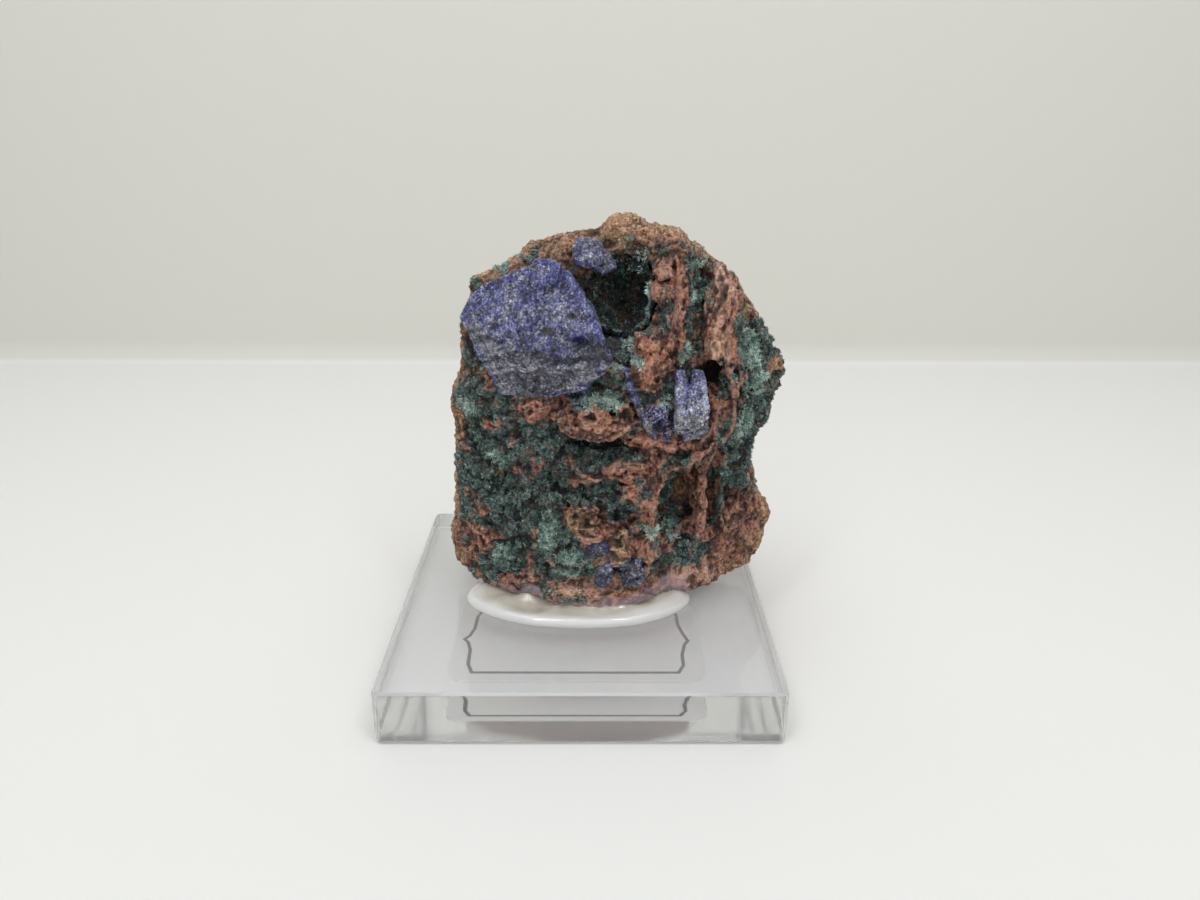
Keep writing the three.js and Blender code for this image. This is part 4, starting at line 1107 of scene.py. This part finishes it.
def malachite(rock_points, rock_faces, shares):
    """The lining of the hollow, and the druses on the rock and in the hollow"""
    silky = malachite_look()
    lining, lining_points, lining_faces, lining_rim = hollow_lining(hollow_look())
    dress(lining, "malachite_crust")
    front = 0.3 + 0.7 * (1 - shares["outer"])
    crest = 0.15 + 0.85 * ease(0.3, 0.75, shares["height"])
    unglued = 1 - shares["film"]
    velvet = ease(0.35, 0.8, shares["green"]) * front * crest * (1 - 0.8 * shares["dark"]) * unglued
    rim = ease(0.02, 0.25, shares["dark"]) * ease(0.9, 0.5, shares["dark"])
    bright = shares["bright"]
    sprays = np.maximum(bright, 0.5 * rim) * front * unglued
    skin = (rock_points, rock_faces)
    inner = (lining_points, lining_faces)
    druses = {
        "malachite_clumps": (skin, velvet, 0.4 * bright, 2500, 24, 0.34, 1),
        "malachite_grains": (skin, velvet, 0.4 * bright, 3600, 16, 0.24, 4),
        "malachite_sprays": (skin, sprays, bright, 1800, 22, 0.42, 2),
        # The hollow's needles are painted paler towards its front: painted shade deeper in
        "hollow_needles": (inner, 0.2 + 0.8 * lining_rim, 0.25 * lining_rim, 520, 13, 0.42, 3),
    }
    for name, settings in druses.items():
        dress(druse(name, *settings, silky))


# Azurite: how many of a crystal's points, and how many of those around a point, tell which way a face looks

FACE_SAMPLE = 4000
FACE_NEIGHBOURS = 9


def flat_outward(points, outward):
    """The direction of the big face that each point is on: the same for its neighbours inside a face"""
    chance = np.random.default_rng(5)
    step = chance.choice(len(points), min(len(points), FACE_SAMPLE), replace=False)
    tree = KDTree(len(step))
    for slot, i in enumerate(step):
        tree.insert(points[i], slot)
    tree.balance()
    smooth = np.empty_like(outward)
    for i, point in enumerate(points):
        around = [step[slot] for _, slot, _ in tree.find_n(point, FACE_NEIGHBOURS)]
        smooth[i] = outward[around].mean(axis=0)
    return smooth


def main_faces(points, across, up):
    """The big crystal's upper face, how far its groove and dents move each point, and the dents alone"""
    line = np.interp(across, *zip(*FACE_LINE))
    rise = up - line + 0.4 * fractal(points, 1.2, 2, 241)
    moved = -GROOVE_DEPTH * np.exp(-(((rise + 0.3) / 0.35) ** 2)) * ease(-7, -4, across)
    dents = np.zeros(len(points))
    for x, z, wide, tall, deep in FACE_DENTS:
        dent = np.exp(-(((across - x) / wide) ** 2) - ((up - z) / tall) ** 2)
        moved -= deep * dent
        dents = np.maximum(dents, dent)
    return ease(-0.25, 0.35, rise), moved, dents


def crystal(name, material):
    """A crystal's rough faces: small plates, pits and grooves along the growth lines"""
    points, outward, faces = evened([name], MAIN_VOXEL if name == "azurite_main" else SMALL_VOXEL)
    across, depth, up = points[:, 0], points[:, 1], points[:, 2] - TOP
    edge = ease(0.1, 0.35, np.linalg.norm(outward - flat_outward(points, outward), axis=1))
    _, plate = scattered(points, 0.55, 201)
    near, mark = scattered(points, 0.8, 221)
    growth = np.stack([across * 0.45, (up - across * GROWTH_SLOPE) * 2.6, depth * 0.45], axis=1)
    waves = fractal(points, 1.5, 3, 211)
    level = (points[:, 2] - points[:, 2].min()) / np.ptp(points[:, 2])
    upper = ease(0.2, 0.75, level)
    pale = PALE_CRYSTALS.get(name, 0)
    shape = 0
    dents = 0
    streaked = 0
    if name == "azurite_main":
        upper, shape, dents = main_faces(points, across, up)
        streaked = 1 - upper
    elif name == "azurite_top":
        upper = 0.55 + 0.5 * waves
        shape = 0.2
    elif name == "azurite_right":
        pale = pale * np.exp(-(((level - 0.5) / 0.4) ** 2))
    elif name in LOW_CRYSTALS:
        upper = 0.3 + 0.7 * waves
    inner = 1 - 0.8 * edge
    pits = ease(0.45, 0.12, near) * ease(0.7, 0.9, mark) * inner * (name != "azurite_top")
    grooves = (0.04 + 0.1 * (1 - upper)) * smooth_noise(growth, 231)
    fine = 0.14 * (plate - 0.5) - 0.26 * pits + 0.12 * waves * inner + grooves
    piece = make(name + "_skin", points + outward * (fine + shape + 0.08)[:, None], faces, material)
    blue = 0.1 + 0.4 * upper + 0.4 * edge - 0.8 * dents
    # The height mark is painted shade in the material: darker in pits, the groove and the dents
    height = ease(-0.24, 0.2, fine + np.minimum(shape, 0))
    mark_points(piece, blue=blue, height=height, pale=pale, streaked=streaked)
    return piece


# The label under the clear block, in mm. Its line is given as places on the table, from its left end round
# the front, and the rear part is the same, mirrored.

LABEL_LINE = [
    (-14.5, -7.5), (-13.9, -8.3), (-13.5, -9.8), (-13.4, -12.6), (-12.75, -14.4),
    (11.3, -14.4), (12.0, -12.9), (12.05, -10.7), (12.5, -8.7), (13.0, -7.85),
]
LABEL_MIDDLE = -7.5
LABEL_LINE_WIDTH = 0.42
LABEL_SUNK = 0.03
LABEL_CORNER = 2


def outline_round(low, high, radius):
    """A rectangle with rounded corners, anticlockwise"""
    middle = (low + high) / 2
    corners = []
    ends = ((high[0], low[1], -90), (high[0], high[1], 0), (low[0], high[1], 90), (low[0], low[1], 180))
    for x, y, start in ends:
        across = x - math.copysign(radius, x - middle[0])
        away = y - math.copysign(radius, y - middle[1])
        for step in range(7):
            turn = math.radians(start + 15 * step)
            corners.append((across + radius * math.cos(turn), away + radius * math.sin(turn)))
    return corners


def inset(line, by):
    """A closed line, drawn anticlockwise, moved inwards by the same amount all round"""
    ring = np.array(line)
    run = unit(np.roll(ring, -1, axis=0) - ring)
    inward = np.stack([-run[:, 1], run[:, 0]], axis=1)
    before = np.roll(inward, 1, axis=0)
    share = 1 + (inward * before).sum(axis=1, keepdims=True)
    return ring + by * (inward + before) / share


def label():
    """A thin sticker whose upper face carries a line, cut into it so that the line has faces of its own"""
    low, high = box_of("label")
    mirrored = [(x, 2 * LABEL_MIDDLE - y) for x, y in reversed(LABEL_LINE[1:-1])]
    line = [*LABEL_LINE, *mirrored]
    edge = outline_round(low, high, LABEL_CORNER)
    rings = [edge, line, inset(line, LABEL_LINE_WIDTH)]
    starts = np.cumsum([0] + [len(ring) for ring in rings])
    polygons = [list(range(starts[i], starts[i + 1])) for i in range(3)]
    made = delaunay_2d_cdt([Vector(p) for ring in rings for p in ring], [], polygons, 1, 1e-6, True)
    corners = [(p[0], p[1], high[2] + LABEL_SUNK) for p in made[0]]
    faces = [list(face) for face in made[2]]
    inked = [1 in owners and 2 not in owners for owners in made[5]]
    nearest_top = []
    for x, y in edge:
        gaps = [math.dist(corner[:2], (x, y)) for corner in corners]
        nearest_top.append(gaps.index(min(gaps)))
    first = len(corners)
    corners.extend((x, y, low[2]) for x, y in edge)
    for i in range(len(edge)):
        j = (i + 1) % len(edge)
        faces.append([nearest_top[i], first + i, first + j, nearest_top[j]])
    faces.append([first + i for i in reversed(range(len(edge)))])
    item = joined("label_sheet", corners, faces, label_looks())
    for polygon, dark in zip(item.data.polygons, inked):
        polygon.material_index = int(dark)
    return item


# The glue's rim in section, as shares of the way out and heights, and its lobes: x, y, height and width

PAD_TURNS = 140
PAD_RINGS = 48
PAD_UNDER_RINGS = 14
PAD_UNDERSIDE = -0.05
PAD_REACH = 3.0
PAD_RIM = (
    (0.985, -0.05), (0.998, 0.18), (1.0, 0.4), (0.992, 0.66),
    (0.975, 0.88), (0.95, 1.04), (0.918, 1.12), (0.88, 1.1),
)
PAD_LOBES = ((-6.7, -4.4, 0.9, 1.2), (-9.5, -4.6, 0.35, 1.6), (8.8, -6.2, 0.3, 2.0), (2.0, -8.0, -0.2, 2.5))


def pad_corners(profile):
    """The glue's section, turned round into a slightly wavy oval"""
    low, high = box_of("glue_pad")
    centre = (low + high) / 2
    half = (high - low) / 2
    turns = np.linspace(0, 2 * math.pi, PAD_TURNS, endpoint=False)
    wobble = 1 - 0.012 * (1 + np.sin(turns * 3 + 1)) - 0.006 * (1 + np.sin(turns * 7))
    rings = []
    for share, height in profile:
        x = centre[0] + half[0] * share * wobble * np.cos(turns)
        y = centre[1] + half[1] * share * wobble * np.sin(turns)
        rings.append(np.stack([x, y, np.full(PAD_TURNS, TOP + height)], axis=1))
    return np.concatenate(rings)


def pad_faces(rings):
    """Squares between the glue's rings, and its two ends"""
    faces = []
    for i, j in itertools.product(range(rings - 1), range(PAD_TURNS)):
        here = i * PAD_TURNS
        next_ring = here + PAD_TURNS
        k = (j + 1) % PAD_TURNS
        faces.append((here + j, here + k, next_ring + k, next_ring + j))
    last = (rings - 1) * PAD_TURNS
    return [*faces, tuple(last + j for j in range(PAD_TURNS)), tuple(reversed(range(PAD_TURNS)))]


def pad(rock_points, rock_faces):
    """A pool of glue with a rounded rim, which dips inside the rim and climbs where it meets the rock"""
    below = [(r, PAD_UNDERSIDE) for r in np.linspace(0.04, 0.94, PAD_UNDER_RINGS)]
    inner = np.linspace(0.84, 0.02, PAD_RINGS - len(PAD_RIM))
    inside = [(r, 0.72 + 0.34 * ease(0.6, 0.86, r)) for r in inner]
    profile = [*below, *PAD_RIM, *inside]
    corners = pad_corners(profile)
    _, gaps = nearest(searcher(rock_points, rock_faces), corners, PAD_REACH)
    share = np.repeat([p[0] for p in profile], PAD_TURNS)
    under = np.arange(len(corners)) < len(below) * PAD_TURNS
    within = ease(0.96, 0.85, share) * ~under
    corners[:, 2] += within * (1.1 * np.exp(-gaps / 0.7) + 0.16 * fractal(corners * (1, 1, 0), 2.4, 2, 251))
    for x, y, tall, wide in PAD_LOBES:
        gap = np.hypot(corners[:, 0] - x, corners[:, 1] - y) / wide
        corners[:, 2] += within * tall * np.exp(-(gap**2))
    item = joined("glue_pool", corners, pad_faces(len(profile)), [glue_look()])
    item.data.polygons.foreach_set("use_smooth", [True] * len(item.data.polygons))
    touching = under * ease(2.9, 2.1, gaps + 0.4 * fractal(corners, 1.5, 2, 261))
    mark_points(item, rim=ease(0.8, 0.93, share), touching=touching)
    return item


# Assembly

camera()
studio()
lights()

rock_points, rock_faces, rock_shares = rock()
malachite(rock_points, rock_faces, rock_shares)

azurite = azurite_look()
for name in AZURITE_NODES:
    dress(crystal(name, azurite), name)

nodes["acrylic_block"].data.materials.clear()
nodes["acrylic_block"].data.materials.append(acrylic_look())

dress(label(), "label")
dress(pad(rock_points, rock_faces), "glue_pad")
